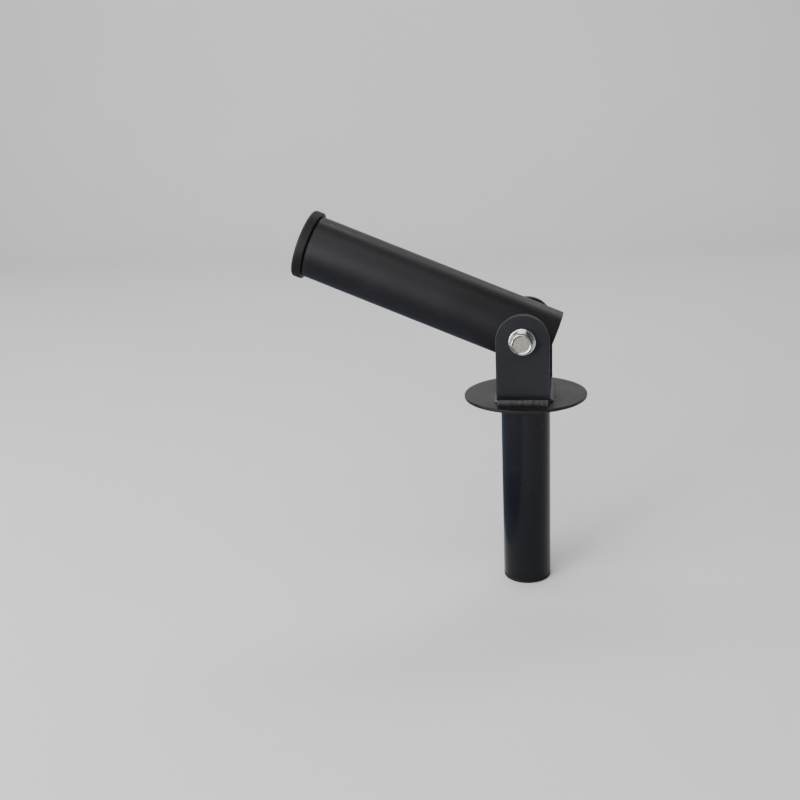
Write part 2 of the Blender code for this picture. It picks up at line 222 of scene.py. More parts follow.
def rounded(corners: Sequence[Triple]) -> Array:
    """A closed line through corners, each one rounded off.

    An arc of radius r that touches both sides starts r / tan(half the corner's angle) from the corner, and
    its centre lies r / sin(half the angle) along the bisector. One support point is set on each side of it,
    so that a flat face beside it shades flat.

    Args:
        corners: (first coordinate, second coordinate, radius) of each corner, in order.

    Returns:
        The points, with those that coincide left out.
    """
    table = np.array(corners, float)
    here, radius = table[:, :2], table[:, 2:]
    back, ahead = (unit(np.roll(here, step, axis=0) - here) for step in (1, -1))
    half = np.arccos(np.clip(np.sum(back * ahead, axis=1, keepdims=True), -1, 1)) / 2
    reach = radius / np.tan(np.maximum(half, TINY_ANGLE))
    centre = here + unit(back + ahead) * radius / np.sin(np.maximum(half, TINY_ANGLE))
    first, last = ((here + way * reach - centre)[:, None] for way in (back, ahead))
    sweep = (pi - 2 * half)[:, None]
    share = np.linspace(0, 1, ARC_STEPS + 1)[None, :, None]
    arcs = np.sin((1 - share) * sweep) * first + np.sin(share * sweep) * last
    arcs = centre[:, None] + np.where(radius[:, None] > 0, arcs / np.maximum(np.sin(sweep), TINY), 0.0)
    before, after = ((here + way * (reach + ARC_SUPPORT * radius))[:, None] for way in (back, ahead))
    line = np.concatenate([before, arcs, after], axis=1).reshape(-1, 2)
    return line[np.linalg.norm(line - np.roll(line, 1, axis=0), axis=1) > MERGE_DISTANCE]


def spin(along: Array, radius: Array, axis: Axis, columns: int) -> Array:
    """Turns rows of points about an axis.

    A point is (distance along, radius * cosine of the turn, radius * sine of the turn), rolled on until the
    first of these lies on the axis.

    Args:
        along: distance along the axis for each row, or for each row and column.
        radius: distance from the axis, in the same form.
        axis: the axis.
        columns: how many columns the turn has.

    Returns:
        A grid of points, rows by columns.
    """
    turn = circle(columns)[None, :]
    along, radius = (as_rows(values) + 0 * turn for values in (along, radius))
    points = np.stack([along, radius * np.cos(turn), radius * np.sin(turn)], axis=-1)
    return np.roll(points, axis.value, axis=-1)


def column(items: Any, key: str, kind: type, width: int = 1) -> NDArray[Any]:
    """One property of all of a mesh's faces, loops or edges.

    Args:
        items: the faces, loops or edges.
        key: the property.
        kind: the type of its values.
        width: how many values each of them has.

    Returns:
        The values, with width of them to a row.
    """
    values = np.zeros(len(items) * width, kind)
    items.foreach_get(key, values)
    return values.reshape(-1, width) if width > 1 else values


def mark_edges(mesh: bpy.types.Mesh) -> None:
    """Writes the attribute edge: 0 on flat and gently curved faces, 1 where the mesh turns a corner.

    The angle at each of the mesh's edges is that between the normals of its two faces. A vertex takes the
    largest of its edges' angles, scaled from the lower edge angle to the higher one.

    Args:
        mesh: the mesh to mark.
    """
    normals = column(mesh.polygons, "normal", np.float32, 3)
    sizes = column(mesh.polygons, "loop_total", np.int32)
    order = np.argsort(column(mesh.loops, "edge_index", np.int32), kind="stable")
    pairs = np.repeat(np.arange(len(sizes)), sizes)[order].reshape(-1, 2)
    angle = np.arccos(np.clip(np.sum(normals[pairs[:, 0]] * normals[pairs[:, 1]], axis=1), -1, 1))
    sharpest = np.zeros(len(mesh.vertices), np.float32)
    np.maximum.at(sharpest, column(mesh.edges, "vertices", np.int32, 2), angle[:, None])
    low, high = EDGE_ANGLES
    share = np.clip((sharpest - low) / (high - low), 0, 1).astype(np.float32)
    mesh.attributes.new("edge", "FLOAT", "POINT").data.foreach_set("value", share)


def stand_up(name: str, data: Any) -> Thing:
    """Puts a mesh, a light or a camera into the scene.

    Args:
        name: the object's name.
        data: the mesh, the light or the camera.

    Returns:
        The object.
    """
    thing = bpy.data.objects.new(name, data)
    bpy.context.scene.collection.objects.link(thing)
    return thing


@dataclass
class Surface:
    """A mesh in the making: grids of points, whose common borders are merged when it is built."""

    points: list[Array] = field(default_factory=list)
    quads: list[NDArray[np.int64]] = field(default_factory=list)
    count: int = 0

    def add(self, grid: Array, ring: bool = False, wrap: bool = False) -> None:
        """Adds one grid of points.

        Args:
            grid: rows by columns of points.
            ring: whether the last row joins the first.
            wrap: whether the last column joins the first.
        """
        rows, columns = grid.shape[:2]
        index = np.arange(rows * columns).reshape(rows, columns) + self.count
        if ring:
            index = np.concatenate([index, index[:1]])
        if wrap:
            index = np.concatenate([index, index[:, :1]], axis=1)
        corners = [index[:-1, :-1], index[:-1, 1:], index[1:, 1:], index[1:, :-1]]
        self.quads.append(np.stack(corners, axis=-1).reshape(-1, 4))
        self.points.append(grid.reshape(-1, 3))
        self.count += rows * columns

    def add_wall(self, outer: Array, inner: Array, wrap: bool = False, rows: Band = (0.0, 1.0)) -> None:
        """Joins a border of one skin to that of the other, with rows at these shares of the way."""
        self.add(np.stack([outer + (inner - outer) * share for share in rows]), wrap=wrap)

    def mesh(self, name: str) -> bpy.types.Mesh:
        """The grids as one mesh, not merged yet.

        Args:
            name: the mesh's name.

        Returns:
            The mesh.
        """
        made = bpy.data.meshes.new(name)
        made.from_pydata(np.concatenate(self.points).tolist(), [], np.concatenate(self.quads).tolist())
        return made

    def build(self, name: str, placement: Placement) -> Thing:
        """Makes one closed mesh with its faces outwards, at its place.

        Args:
            name: the object's name.
            placement: where the piece's own frame stands.

        Returns:
            The object, at the origin, with its place in its mesh.
        """
        self.points = [placement.lay(np.concatenate(self.points))]
        mesh = self.mesh(name)
        bm = bmesh.new()
        bm.from_mesh(mesh)
        bmesh.ops.remove_doubles(bm, verts=bm.verts, dist=MERGE_DISTANCE)
        bmesh.ops.delete(bm, geom=[edge for edge in bm.edges if not edge.link_faces], context="EDGES")
        bmesh.ops.recalc_face_normals(bm, faces=bm.faces)
        bm.to_mesh(mesh)
        bm.free()
        mesh.shade_smooth()
        mesh.set_sharp_from_angle(angle=SHARP_ANGLE)
        mark_edges(mesh)
        return stand_up(name, mesh)


def opaque(colour: Any) -> Any:
    """A colour with its alpha, or a socket as it is."""
    return colour if isinstance(colour, Socket) else (*colour, 1.0)


def shade(colour: Triple, factor: float) -> Triple:
    """A colour made darker or paler, but never past white."""
    return tuple(min(1.0, part * factor) for part in colour)


class NodeBoard:
    """The nodes of one material or world, laid down and joined from left to right."""

    def __init__(self, owner: Any, shader: str = "Principled BSDF") -> None:
        """Starts on the tree of a material or a world, and finds its shader.

        Args:
            owner: the material or the world.
            shader: its shader's name.
        """
        owner.use_nodes = True
        self.owner = owner
        self.tree = owner.node_tree
        self.shader = self.tree.nodes[shader]

    def join(self, node: bpy.types.Node, joins: Joins) -> bpy.types.Node:
        """Links a node's inputs to sockets, or sets their values.

        Args:
            node: the node.
            joins: what each of its inputs takes, a socket or a value.

        Returns:
            The node.
        """
        for key, value in joins.items():
            if isinstance(value, Socket):
                self.tree.links.new(value, node.inputs[key])
            else:
                node.inputs[key].default_value = value
        return node

    def node(self, kind: str, joins: Joins, **settings: Any) -> bpy.types.Node:
        """Adds a node.

        Args:
            kind: Blender's name of the node type.
            joins: what each of its inputs takes, a socket or a value.
            settings: the node's own properties.

        Returns:
            The node.
        """
        made = self.tree.nodes.new("ShaderNode" + kind)
        for key, value in settings.items():
            setattr(made, key, value)
        return self.join(made, joins)

    def coordinates(self, placement: Placement) -> Socket:
        """Object coordinates, taken back into a piece's own frame.

        Args:
            placement: where that frame stands.

        Returns:
            The coordinates.
        """
        source = self.node("TexCoord", {}).outputs["Object"]
        back = {"Vector": source, "Location": placement.centre, "Rotation": (0, placement.tilt, 0)}
        return self.node("Mapping", back, vector_type="TEXTURE").outputs[0]

    def stretched(self, vector: Socket, scale: Triple) -> Socket:
        """Coordinates scaled differently along each axis."""
        return self.node("VectorMath", {0: vector, 1: scale}, operation="MULTIPLY").outputs[0]

    def split(self, vector: Socket) -> Sequence[Socket]:
        """The three parts of a vector."""
        return self.node("SeparateXYZ", {0: vector}).outputs

    def off_axis(self, vector: Socket, axis: Axis) -> Socket:
        """Distance from an axis of the piece's own frame."""
        flat = self.stretched(vector, tuple(0.0 if i == axis.value else 1.0 for i in range(3)))
        return self.node("VectorMath", {0: flat}, operation="LENGTH").outputs["Value"]

    def noise(self, vector: Socket, pitch: float, detail: float = 2.0) -> Socket:
        """Smooth noise with so many metres to a wave, around a half."""
        return self.node("TexNoise", {"Vector": vector, "Scale": 1 / pitch, "Detail": detail}).outputs[0]

    def band(self, value: Any, low: float, high: float, start: float = 0.0, end: float = 1.0) -> Socket:
        """Maps low to high onto start to end, and holds it there outside."""
        joins = {0: value, 1: low, 2: high, 3: start, 4: end}
        return self.node("MapRange", joins, interpolation_type="SMOOTHSTEP").outputs[0]

    def sum_of(self, first: Any, second: Any, operation: str = "ADD") -> Socket:
        """Two values put together by one sum."""
        return self.node("Math", {0: first, 1: second}, operation=operation).outputs[0]

    def times(self, first: Any, second: Any) -> Socket:
        """Two values multiplied."""
        return self.sum_of(first, second, "MULTIPLY")

    def distance(self, value: Any, place: float) -> Socket:
        """How far a value is from a place, either way."""
        return self.sum_of(self.sum_of(value, place, "SUBTRACT"), 0.0, "ABSOLUTE")

    def laid(self, colour: Any, *over: tuple[Any, Any]) -> Socket:
        """A colour with others laid over it in turn.

        Args:
            colour: the lowest one.
            over: (share, colour) of each one over it.

        Returns:
            The colour that is seen.
        """
        for share, top in over:
            joins = {0: share, 6: opaque(colour), 7: opaque(top)}
            colour = self.node("Mix", joins, data_type="RGBA").outputs[2]
        return colour

    def relief(self, *over: tuple[Any, float], under: Any = None) -> Joins:
        """A normal that heights disturb in turn.

        Args:
            over: (height, depth) of each, where a height of one stands depth metres proud.
            under: the normal that they start from, where it isn't the mesh's own.

        Returns:
            What the shader's normal takes.
        """
        for height, depth in over:
            joins = {"Height": height, "Distance": depth}
            under = self.node("Bump", joins if under is None else {**joins, "Normal": under}).outputs[0]
        return {"Normal": under}

    def edge(self) -> Socket:
        """The mesh's edge mark."""
        return self.node("Attribute", {}, attribute_name="edge").outputs["Fac"]

    def dress(self, joins: Joins) -> Any:
        """Gives the shader its inputs and returns the material or the world."""
        self.join(self.shader, joins)
        return self.owner


@dataclass(frozen=True)
class Finish(ABC):
    """How a surface is finished."""

    def paint(self, name: str, placement: Placement) -> bpy.types.Material:
        """Makes the material for one piece, whose own frame stands at a placement."""
        board = NodeBoard(bpy.data.materials.new(name))
        return board.dress(self.layers(board, board.coordinates(placement)))

    @abstractmethod
    def layers(self, board: NodeBoard, at: Socket) -> Joins:
        """Lays the nodes down from coordinates in the piece's own frame, and returns the shader's inputs."""


@dataclass(frozen=True)
class PowderCoat(Finish):
    """Baked powder coating: orange peel, a fine grain, clouds of gloss, an edge colour that is partly a thinner
    film and partly painted light, and a painted highlight on edges above a given height.
    """

    colour: Triple
    edge_colour: Triple
    roughness: float
    specular: float = 0.5
    peel_pitch: float = 0.0022
    peel_height: float = 0.000022
    peel_band: Band = (0.3, 0.7)
    grain_pitch: float = 0.00035
    grain_height: float = 0.000006
    speck_band: Band = (0.62, 0.78)
    speck_share: float = 0.35
    cloud_pitch: float = 0.045
    cloud_band: Band = (0.3, 0.7)
    cloud: float = 0.16
    gloss_spread: float = 0.05
    # Patches of the edges that take the edge colour: partly a thinner film, partly painted light.
    wear_and_painted_light_band: Band = (0.25, 0.6, 0.15, 0.45)
    # Painted highlight along edges above a height: where it starts and rises, which edges, which patches, and
    # its colour.
    highlight_from: float = 1.0
    highlight_rise: float = 0.02
    highlight_edge: Band = (0.8, 1.0)
    edge_noise_band: Band = (0.3, 0.7, 0.6, 1.0)
    highlight_colour: Triple = (0.120, 0.120, 0.125)

    def layers(self, board: NodeBoard, at: Socket) -> Joins:
        """Clouds and grain shift the colour, peel and grain the normal, and clouds and peel the roughness.

        Edges higher than a given height in the piece's own frame are painted paler, a painted highlight along
        the top edges.

        Args:
            board: the material's nodes.
            at: coordinates in the piece's own frame.

        Returns:
            What the shader's inputs take.
        """
        clouds = board.band(board.noise(at, self.cloud_pitch, detail=4.0), *self.cloud_band)
        peel = board.noise(at, self.peel_pitch, detail=1.5)
        grain = board.noise(at, self.grain_pitch)
        # Painted highlight: edges above a given height, paler in patches.
        high_up = board.band(board.split(at)[2], self.highlight_from, self.highlight_from + self.highlight_rise)
        painted_highlight = board.times(high_up, board.band(board.edge(), *self.highlight_edge))
        gloss = board.sum_of(clouds, board.band(peel, *self.peel_band))
        low, high = self.roughness - self.gloss_spread, self.roughness + self.gloss_spread
        return {
            "Base Color": board.laid(
                shade(self.colour, 1 - self.cloud),
                (clouds, shade(self.colour, 1 + self.cloud)),
                (board.times(board.band(grain, *self.speck_band), self.speck_share), self.edge_colour),
                # Edge colour on the edges: partly a thinner film, partly painted light. Where it is paler than
                # the coat it is a painted highlight, and where it is darker it is painted shade.
                (board.times(board.edge(), board.band(peel, *self.wear_and_painted_light_band)), self.edge_colour),
                # Painted highlight laid over the top edges.
                (board.times(painted_highlight, board.band(peel, *self.edge_noise_band)), self.highlight_colour),
            ),
            "Roughness": board.band(gloss, 0.0, 2.0, low, high),
            **board.relief((peel, self.peel_height), (grain, self.grain_height)),
            "Specular IOR Level": self.specular,
        }


@dataclass(frozen=True)
class GlossPaint(Finish):
    """Brushed-on gloss enamel over drawn tube: long soft sags, dust nibs and a hard shine."""

    colour: Triple = (0.0035, 0.0040, 0.0060)
    dust: Triple = (0.010, 0.010, 0.012)
    roughness: float = 0.24
    haze_roughness: float = 0.08
    specular: float = 0.16
    coat: float = 0.06
    coat_roughness: float = 0.08
    sag_pitch: float = 0.014
    sag_height: float = 0.00009
    sag_stretch: Triple = (1.0, 1.0, 0.22)
    nib_pitch: float = 0.0012
    nib_height: float = 0.00001
    nib_band: Band = (0.66, 0.80)
    haze_pitch: float = 1 / 24
    haze_band: Band = (0.42, 0.75)
    haze_share: float = 0.30

    def layers(self, board: NodeBoard, at: Socket) -> Joins:
        """Sags are noise drawn out along Z, nibs are the tops of a fine noise, and haze is a broad one.

        Args:
            board: the material's nodes.
            at: coordinates in the piece's own frame.

        Returns:
            What the shader's inputs take.
        """
        sags = board.noise(board.stretched(at, self.sag_stretch), self.sag_pitch)
        nibs = board.band(board.noise(at, self.nib_pitch), *self.nib_band)
        haze = board.band(board.noise(at, self.haze_pitch, detail=5.0), *self.haze_band)
        hazy = board.times(haze, self.haze_share)
        bare = board.sum_of(nibs, board.edge(), "MAXIMUM")
        return {
            "Base Color": board.laid(self.colour, (hazy, self.dust), (bare, self.dust)),
            "Roughness": board.band(haze, 0.0, 1.0, self.roughness, self.roughness + self.haze_roughness),
            **board.relief((sags, self.sag_height), (nibs, self.nib_height)),
            "Specular IOR Level": self.specular,
            "Coat Weight": self.coat,
            "Coat Roughness": self.coat_roughness,
        }


@dataclass(frozen=True)
class MouldedPlastic(Finish):
    """Injection-moulded nylon: a spark-eroded skin, faint flow lines and burnished edges."""

    colour: Triple
    edge_colour: Triple
    roughness: float
    flow_pitch: float = 0.004
    flow_height: float = 0.00002
    flow_stretch: Triple = (1.0, 0.3, 0.3)
    flow_band: Band = (0.3, 0.72)
    flow_shade: float = 0.78
    skin_pitch: float = 0.0006
    skin_height: float = 0.000014
    edge_noise_band: Band = (0.35, 0.65, 0.1, 0.45)
    gloss_band: Band = (-0.6, 0.7)
    gloss_spread: Band = (-0.14, 0.06)
    specular: float = 0.45

    def layers(self, board: NodeBoard, at: Socket) -> Joins:
        """Flow lines are noise drawn out round the piece, and the skin is a fine noise in the normal.

        Args:
            board: the material's nodes.
            at: coordinates in the piece's own frame.

        Returns:
            What the shader's inputs take.
        """
        flow = board.noise(board.stretched(at, self.flow_stretch), self.flow_pitch, detail=3.0)
        skin = board.noise(at, self.skin_pitch, detail=3.0)
        lines = (board.band(flow, *self.flow_band), self.colour)
        rub = board.times(board.edge(), board.band(flow, *self.edge_noise_band))
        gloss = board.sum_of(skin, rub, "SUBTRACT")
        ends = (self.roughness + spread for spread in self.gloss_spread)
        return {
            "Base Color": board.laid(shade(self.colour, self.flow_shade), lines, (rub, self.edge_colour)),
            "Roughness": board.band(gloss, *self.gloss_band, *ends),
            **board.relief((flow, self.flow_height), (skin, self.skin_height)),
            "Specular IOR Level": self.specular,
        }


@dataclass(frozen=True)
class ZincPlate(Finish):
    """Bright zinc on forged and turned steel: cloudy film, forging grain and fine turning rings."""

    axis: Axis = Axis.Y
    colour: Triple = (0.58, 0.59, 0.60)
    warm: Triple = (0.53, 0.51, 0.44)
    dull: Triple = (0.38, 0.39, 0.40)
    roughness: float = 0.22
    gloss_band: Band = (0.3, 1.6)
    gloss_spread: Band = (-0.06, 0.16)
    ring_pitch: float = 0.00045
    ring_height: float = 0.000004
    forging_pitch: float = 0.0011
    forging_height: float = 0.000008
    cloud_pitch: float = 1 / 160
    cloud_band: Band = (0.35, 0.68)
    stain_pitch: float = 1 / 420
    stain_band: Band = (0.50, 0.72)
    stain_share: float = 0.55
    rub_share: float = 0.45
    rub_gain: float = 1.25

    def layers(self, board: NodeBoard, at: Socket) -> Joins:
        """Rings are a noise of the distance off the axis, and the forging grain is a noise in the normal.

        Args:
            board: the material's nodes.
            at: coordinates in the piece's own frame.

        Returns:
            What the shader's inputs take.
        """
        radius = board.off_axis(at, self.axis)
        rings = board.noise(board.node("CombineXYZ", {0: radius}).outputs[0], self.ring_pitch)
        forging = board.noise(at, self.forging_pitch)
        clouds = board.band(board.noise(at, self.cloud_pitch, detail=3.0), *self.cloud_band)
        stain = board.band(board.noise(at, self.stain_pitch, detail=4.0), *self.stain_band)
        ends = (self.roughness + spread for spread in self.gloss_spread)
        return {
            "Base Color": board.laid(
                self.colour,
                (clouds, self.warm),
                (board.times(stain, self.stain_share), self.dull),
                (board.times(board.edge(), self.rub_share), shade(self.colour, self.rub_gain)),
            ),
            "Roughness": board.band(board.sum_of(stain, forging), *self.gloss_band, *ends),
            **board.relief((rings, self.ring_height), (forging, self.forging_height)),
            "Metallic": 1.0,
        }


@dataclass(frozen=True)
class ForgedHead(ZincPlate):
    """Zinc on a bolt's head: the die's dull cup in its face, painted shade in the upper left of the cup's wall,
    and sides painted darker towards the lower right as painted shade, which are also rougher there.

    A place is a distance along the axis. Lean is how far down and right a point lies, its X less its Z.
    """

    roughness: float = 0.24
    cup_place: float = -0.0560
    cup_radius: float = 0.0074
    cup_soft: Band = (0.0002, 0.0004)
    cup_colour: Triple = (0.43, 0.42, 0.35)
    cup_shade: float = 0.62
    cup_pitch: float = 0.0016
    cup_band: Band = (0.35, 0.65)
    cup_height: float = 0.00005
    wall_radius: float = 0.0080
    wall_band: Band = (0.0006, 0.0010, 1.0, 0.0)
    # Painted shade in the cup's wall, strongest to the upper left.
    wall_shadow_colour: Triple = (0.055, 0.050, 0.040)
    wall_shadow_lean: Band = (-0.0095, -0.0055, 0.9, 0.0)
    foot_place: float = -0.0500
    foot_soft: float = 0.0008
    side_band: Band = (0.0086, 0.0090)
    # Painted shade on the head's sides, towards the lower right.
    side_shadow_colour: Triple = (0.17, 0.17, 0.17)
    side_shadow_lean: Band = (-0.004, 0.004, 0.0, 0.9)
    dull_roughness: float = 0.14

    def layers(self, board: NodeBoard, at: Socket) -> Joins:
        """The cup, the painted shade in the cup's wall and the painted shade on the sides are products of bands
        of place, radius and lean, laid in turn.

        Args:
            board: the material's nodes.
            at: coordinates in the piece's own frame.

        Returns:
            What the shader's inputs take.
        """
        plain = super().layers(board, at)
        parts = board.split(at)
        place, radius = parts[self.axis.value], board.off_axis(at, self.axis)
        lean = board.sum_of(parts[0], parts[2], "SUBTRACT")
        level_soft, rim_soft = self.cup_soft
        level = board.band(place, self.cup_place, self.cup_place + level_soft, 1.0, 0.0)
        dull = board.times(level, board.band(radius, self.cup_radius, self.cup_radius + rim_soft, 1.0, 0.0))
        grain = board.noise(at, self.cup_pitch, detail=3.0)
        mottle = (board.band(grain, *self.cup_band), self.cup_colour)
        cup = board.laid(shade(self.cup_colour, self.cup_shade), mottle)
        wall = board.band(board.distance(radius, self.wall_radius), *self.wall_band)
        # Painted shade: the cup's wall, darkened towards the upper left.
        wall_shadow = board.times(board.times(wall, board.band(lean, *self.wall_shadow_lean)), level)
        above = board.band(place, self.foot_place - self.foot_soft, self.foot_place, 1.0, 0.0)
        side = board.times(above, board.band(radius, *self.side_band))
        # Painted shade on the sides, darker towards the lower right. These sides are rougher too.
        scuff_and_shadow = board.times(side, board.band(lean, *self.side_shadow_lean))
        over = ((dull, cup), (wall_shadow, self.wall_shadow_colour), (scuff_and_shadow, self.side_shadow_colour))
        rougher = board.times(board.sum_of(dull, scuff_and_shadow), self.dull_roughness)
        return {
            **plain,
            "Base Color": board.laid(plain["Base Color"], *over),
            "Roughness": board.sum_of(plain["Roughness"], rougher),
            **board.relief((board.times(grain, dull), self.cup_height), under=plain["Normal"]),
        }


@dataclass(frozen=True)
class OiledSteel(Finish):
    """Bare steel tube under a film of oil: turned ends, grey scale and a brown tint by the welds."""

    colour: Triple = (0.36, 0.35, 0.33)
    scale: Triple = (0.15, 0.14, 0.135)
    scale_pitch: float = 1 / 230
    scale_band: Band = (0.42, 0.66)
    scale_height: float = 0.00002
    scale_roughness: float = 0.2
    groove_pitch: float = 1 / 4200
    groove_stretch: Triple = (0.05, 1.0, 0.05)
    groove_height: float = 0.00001
    heat: Triple = (0.26, 0.19, 0.11)
    heat_band: Band = (0.0, 0.006, 0.85, 0.0)
    roughness: float = 0.34
    weld_place: float = 0.031

    def layers(self, board: NodeBoard, at: Socket) -> Joins:
        """Grooves follow the Y axis, and the tint is a band of |y| about the welds.

        Args:
            board: the material's nodes.
            at: coordinates in the piece's own frame.

        Returns:
            What the shader's inputs take.
        """
        grooves = board.noise(board.stretched(at, self.groove_stretch), self.groove_pitch)
        patches = board.band(board.noise(at, self.scale_pitch, detail=5.0), *self.scale_band)
        across = board.sum_of(board.split(at)[1], 0.0, "ABSOLUTE")
        near = board.band(board.distance(across, self.weld_place), *self.heat_band)
        return {
            "Base Color": board.laid(self.colour, (patches, self.scale), (near, self.heat)),
            "Roughness": board.band(patches, 0.0, 1.0, self.roughness, self.roughness + self.scale_roughness),
            **board.relief((grooves, self.groove_height), (patches, self.scale_height)),
            "Metallic": 1.0,
        }


SATIN_BLACK = PowderCoat((0.0082, 0.0071, 0.0086), (0.034, 0.032, 0.034), 0.42, specular=0.22)
# The disc's edge colour is darker than its face: painted shade on its rim.
DISC_BLACK = PowderCoat((0.0098, 0.0092, 0.0098), (0.0030, 0.0030, 0.0034), 0.36, specular=0.21)
WELD_BLACK = PowderCoat((0.0085, 0.0085, 0.0100), (0.030, 0.030, 0.032), 0.38, 0.28, grain_height=0.00002)
# The ears' edges above 62 mm take the painted highlight.
CHARCOAL = PowderCoat((0.0080, 0.0087, 0.0114), (0.034, 0.035, 0.038), 0.46, specular=0.22, highlight_from=0.062)
# The weld beads are the bracket's coat painted paler, as painted light for the light they catch. The side beads
# are the palest.
FOOT_WELD = PowderCoat(
    (0.0175, 0.0170, 0.0185), (0.030, 0.030, 0.032), 0.42, 0.28, cloud=0.35, cloud_pitch=0.007
)
SIDE_WELD = PowderCoat(
    (0.0440, 0.0430, 0.0440), (0.070, 0.070, 0.072), 0.42, 0.40, cloud=0.30, cloud_pitch=0.007
)
GLOSS_BLACK = GlossPaint()
BLACK_NYLON = MouldedPlastic((0.0075, 0.0068, 0.0064), (0.018, 0.0175, 0.0175), 0.46, specular=0.17)
PALE_NYLON = MouldedPlastic((0.70, 0.67, 0.57), (0.80, 0.78, 0.70), 0.46)
BRIGHT_ZINC = ZincPlate()
FORGED_ZINC = ForgedHead()
BARE_STEEL = OiledSteel()


@dataclass(frozen=True)
class Bead:
    """A weld bead: crescents that each lie over the one before, along a slowly wandering line.

    Wander is made of sines: (whole waves over a length, height, phase) of each.
    """

    pitch: float = 0.0022
    height: float = 0.00026
    wander: float = 0.06
    bow: float = 0.55
    bulge: float = 0.1
    face_steps: int = 14
    waves: tuple[Triple, ...] = ((3, 1.0, 0.4), (7, 0.7, 2.1), (13, 0.5, 4.0))

    @property
    def share(self) -> Array:
        """Shares of the way across the face."""
        return np.linspace(0, 1, self.face_steps + 1)[None, :]

    def ripples(self, along: Array, across: Array) -> Array:
        """How far the bead's face stands proud.

        The phase is the distance along in pitches less a parabola across the face, which bows each crescent.
        The height is one minus the square of the sawtooth of that phase, and it dies away at both toes.

        Args:
            along: distance along the bead.
            across: share of the way across the face.

        Returns:
            The height at each point.
        """
        middle = 1 - (2 * across - 1) ** 2
        phase = along / self.pitch - self.bow * middle
        saw = 2 * (phase - np.floor(phase)) - 1
        return self.height * (1 - saw**2) * np.sqrt(np.maximum(middle, 0))

    def wobble(self, along: Array, length: float) -> Array:
        """A share about one: sines, in whole waves over a length, that never line up.

        Args:
            along: distance along the bead.
            length: what the waves are counted over.

        Returns:
            The share at each place.
        """
        turn = along / length * FULL_TURN
        waves = sum(height * np.sin(count * turn + phase) for count, height, phase in self.waves)
        return 1 + self.wander * waves / sum(height for _, height, _ in self.waves)

    def fillet(self, along: Array, leg: Array) -> tuple[Array, Array]:
        """A fillet's section at each place along a bead.

        It runs from the root out along one side, over the face and back down the other side. The face is the
        straight line between the toes, pushed out along its normal by a parabola and by the ripples.

        Args:
            along: distance along the bead, one value a section.
            leg: length of both sides there.

        Returns:
            How far each point is from the root along the first side and along the second, sections by points.
        """
        share, leg = self.share, leg[:, None]
        proud = 4 * share * (1 - share) * self.bulge * leg
        proud = proud + self.ripples(along[:, None], share) * leg / leg.max()
        first, second = (side * leg + proud * np.sqrt(0.5) for side in (1 - share, share))
        root, half = 0 * leg, leg / 2
        sections = ([root, half, first, root], [root, root, second, half])
        first, second = (np.concatenate(section, axis=1) for section in sections)
        return first, second

    def round_fillet(self, root: float, leg: float, sections: int) -> tuple[Array, Array, Array]:
        """A fillet on a flat face, all round a circle, with a whole number of pitches.

        A point lies (root + how far out it is) * cosine and sine of the turn from the circle's middle.

        Args:
            root: the circle's radius.
            leg: the longest that its sides get.
            sections: how many sections it has.

        Returns:
            The two places in the face, and how far a point stands off it, sections by points.
        """
        run, turn = FULL_TURN * root, circle(sections)
        whole = replace(self, pitch=run / round(run / self.pitch))
        out, up = whole.fillet(turn * root, leg * self.wobble(turn, FULL_TURN) / (1 + self.wander))
        turn = turn[:, None]
        return (root + out) * np.cos(turn), (root + out) * np.sin(turn), up


def capped(grid: Array) -> Array:
    """Closes a run of sections with a fan at each end, by adding a row that is the end section's middle."""
    ends = [np.broadcast_to(end.mean(axis=1, keepdims=True), end.shape) for end in (grid[:1], grid[-1:])]
    return np.concatenate([ends[0], grid, ends[1]])


def drawn_in(along: Array, length: float, taper: float) -> Array:
    """Size of an open bead, whose ends are quarter ellipses: small at both ends, 1 from taper on."""
    from_end = np.minimum(along, length - along) / taper
    return np.sqrt(np.clip(1 - (1 - np.clip(from_end, BEAD_TIP, 1)) ** 2, 0, 1))


@dataclass(frozen=True)
class Piece:
    """What a piece is called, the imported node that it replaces, the record's material slot and its finish."""

    name: str
    node: str
    slot: Slot
    finish: Finish


@dataclass
class SubAssembly(ABC):
    """Pieces that are made and fitted together."""

    body: Body = Body.BASE
    placement: Placement = AT_ORIGIN

    @abstractmethod
    def make(self) -> None:
        """Builds and dresses every piece."""

    def dress(self, piece: Piece, surface: Surface) -> Thing:
        """Turns a surface in the sub-assembly's own frame into a finished piece that stands for its node.

        Args:
            piece: what it is.
            surface: its grids.

        Returns:
            The object.
        """
        thing = surface.build(piece.name, self.placement)
        thing.data.materials.append(piece.finish.paint(piece.name + "_finish", self.placement))
        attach(thing, self.body.value)
        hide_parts(piece.node)
        LOG.info("%s stands for %s with %d faces", piece.name, piece.node, len(thing.data.polygons))
        return thing

    def skinned(self, piece: Piece, grid: Array, ring: bool = False) -> None:
        """A piece that is one grid, whose last column joins its first.

        Args:
            piece: what it is.
            grid: its points, rows by columns.
            ring: whether the last row joins the first too.
        """
        surface = Surface()
        surface.add(grid, ring=ring, wrap=True)
        self.dress(piece, surface)

    def turned(self, piece: Piece, axis: Axis, corners: Sequence[Triple], columns: int = 128) -> None:
        """A piece turned from a profile.

        Args:
            piece: what it is.
            axis: the axis that it spins about.
            corners: (along, radius, round) of the profile, a closed line or one from axis to axis.
            columns: how many columns it has.
        """
        along, radius = rounded(corners).T
        self.skinned(piece, spin(along, radius, axis, columns), ring=True)


def soften(thing: Thing, width: float) -> None:
    """Rounds a piece's sharp edges with a bevel.

    Args:
        thing: the piece.
        width: how far in from an edge its round starts.
    """
    step = thing.modifiers.new("Edge round", "BEVEL")
    step.width = width
    step.segments = BEVEL_STEPS
    step.limit_method = "ANGLE"
    step.angle_limit = SHARP_ANGLE
    step.harden_normals = True


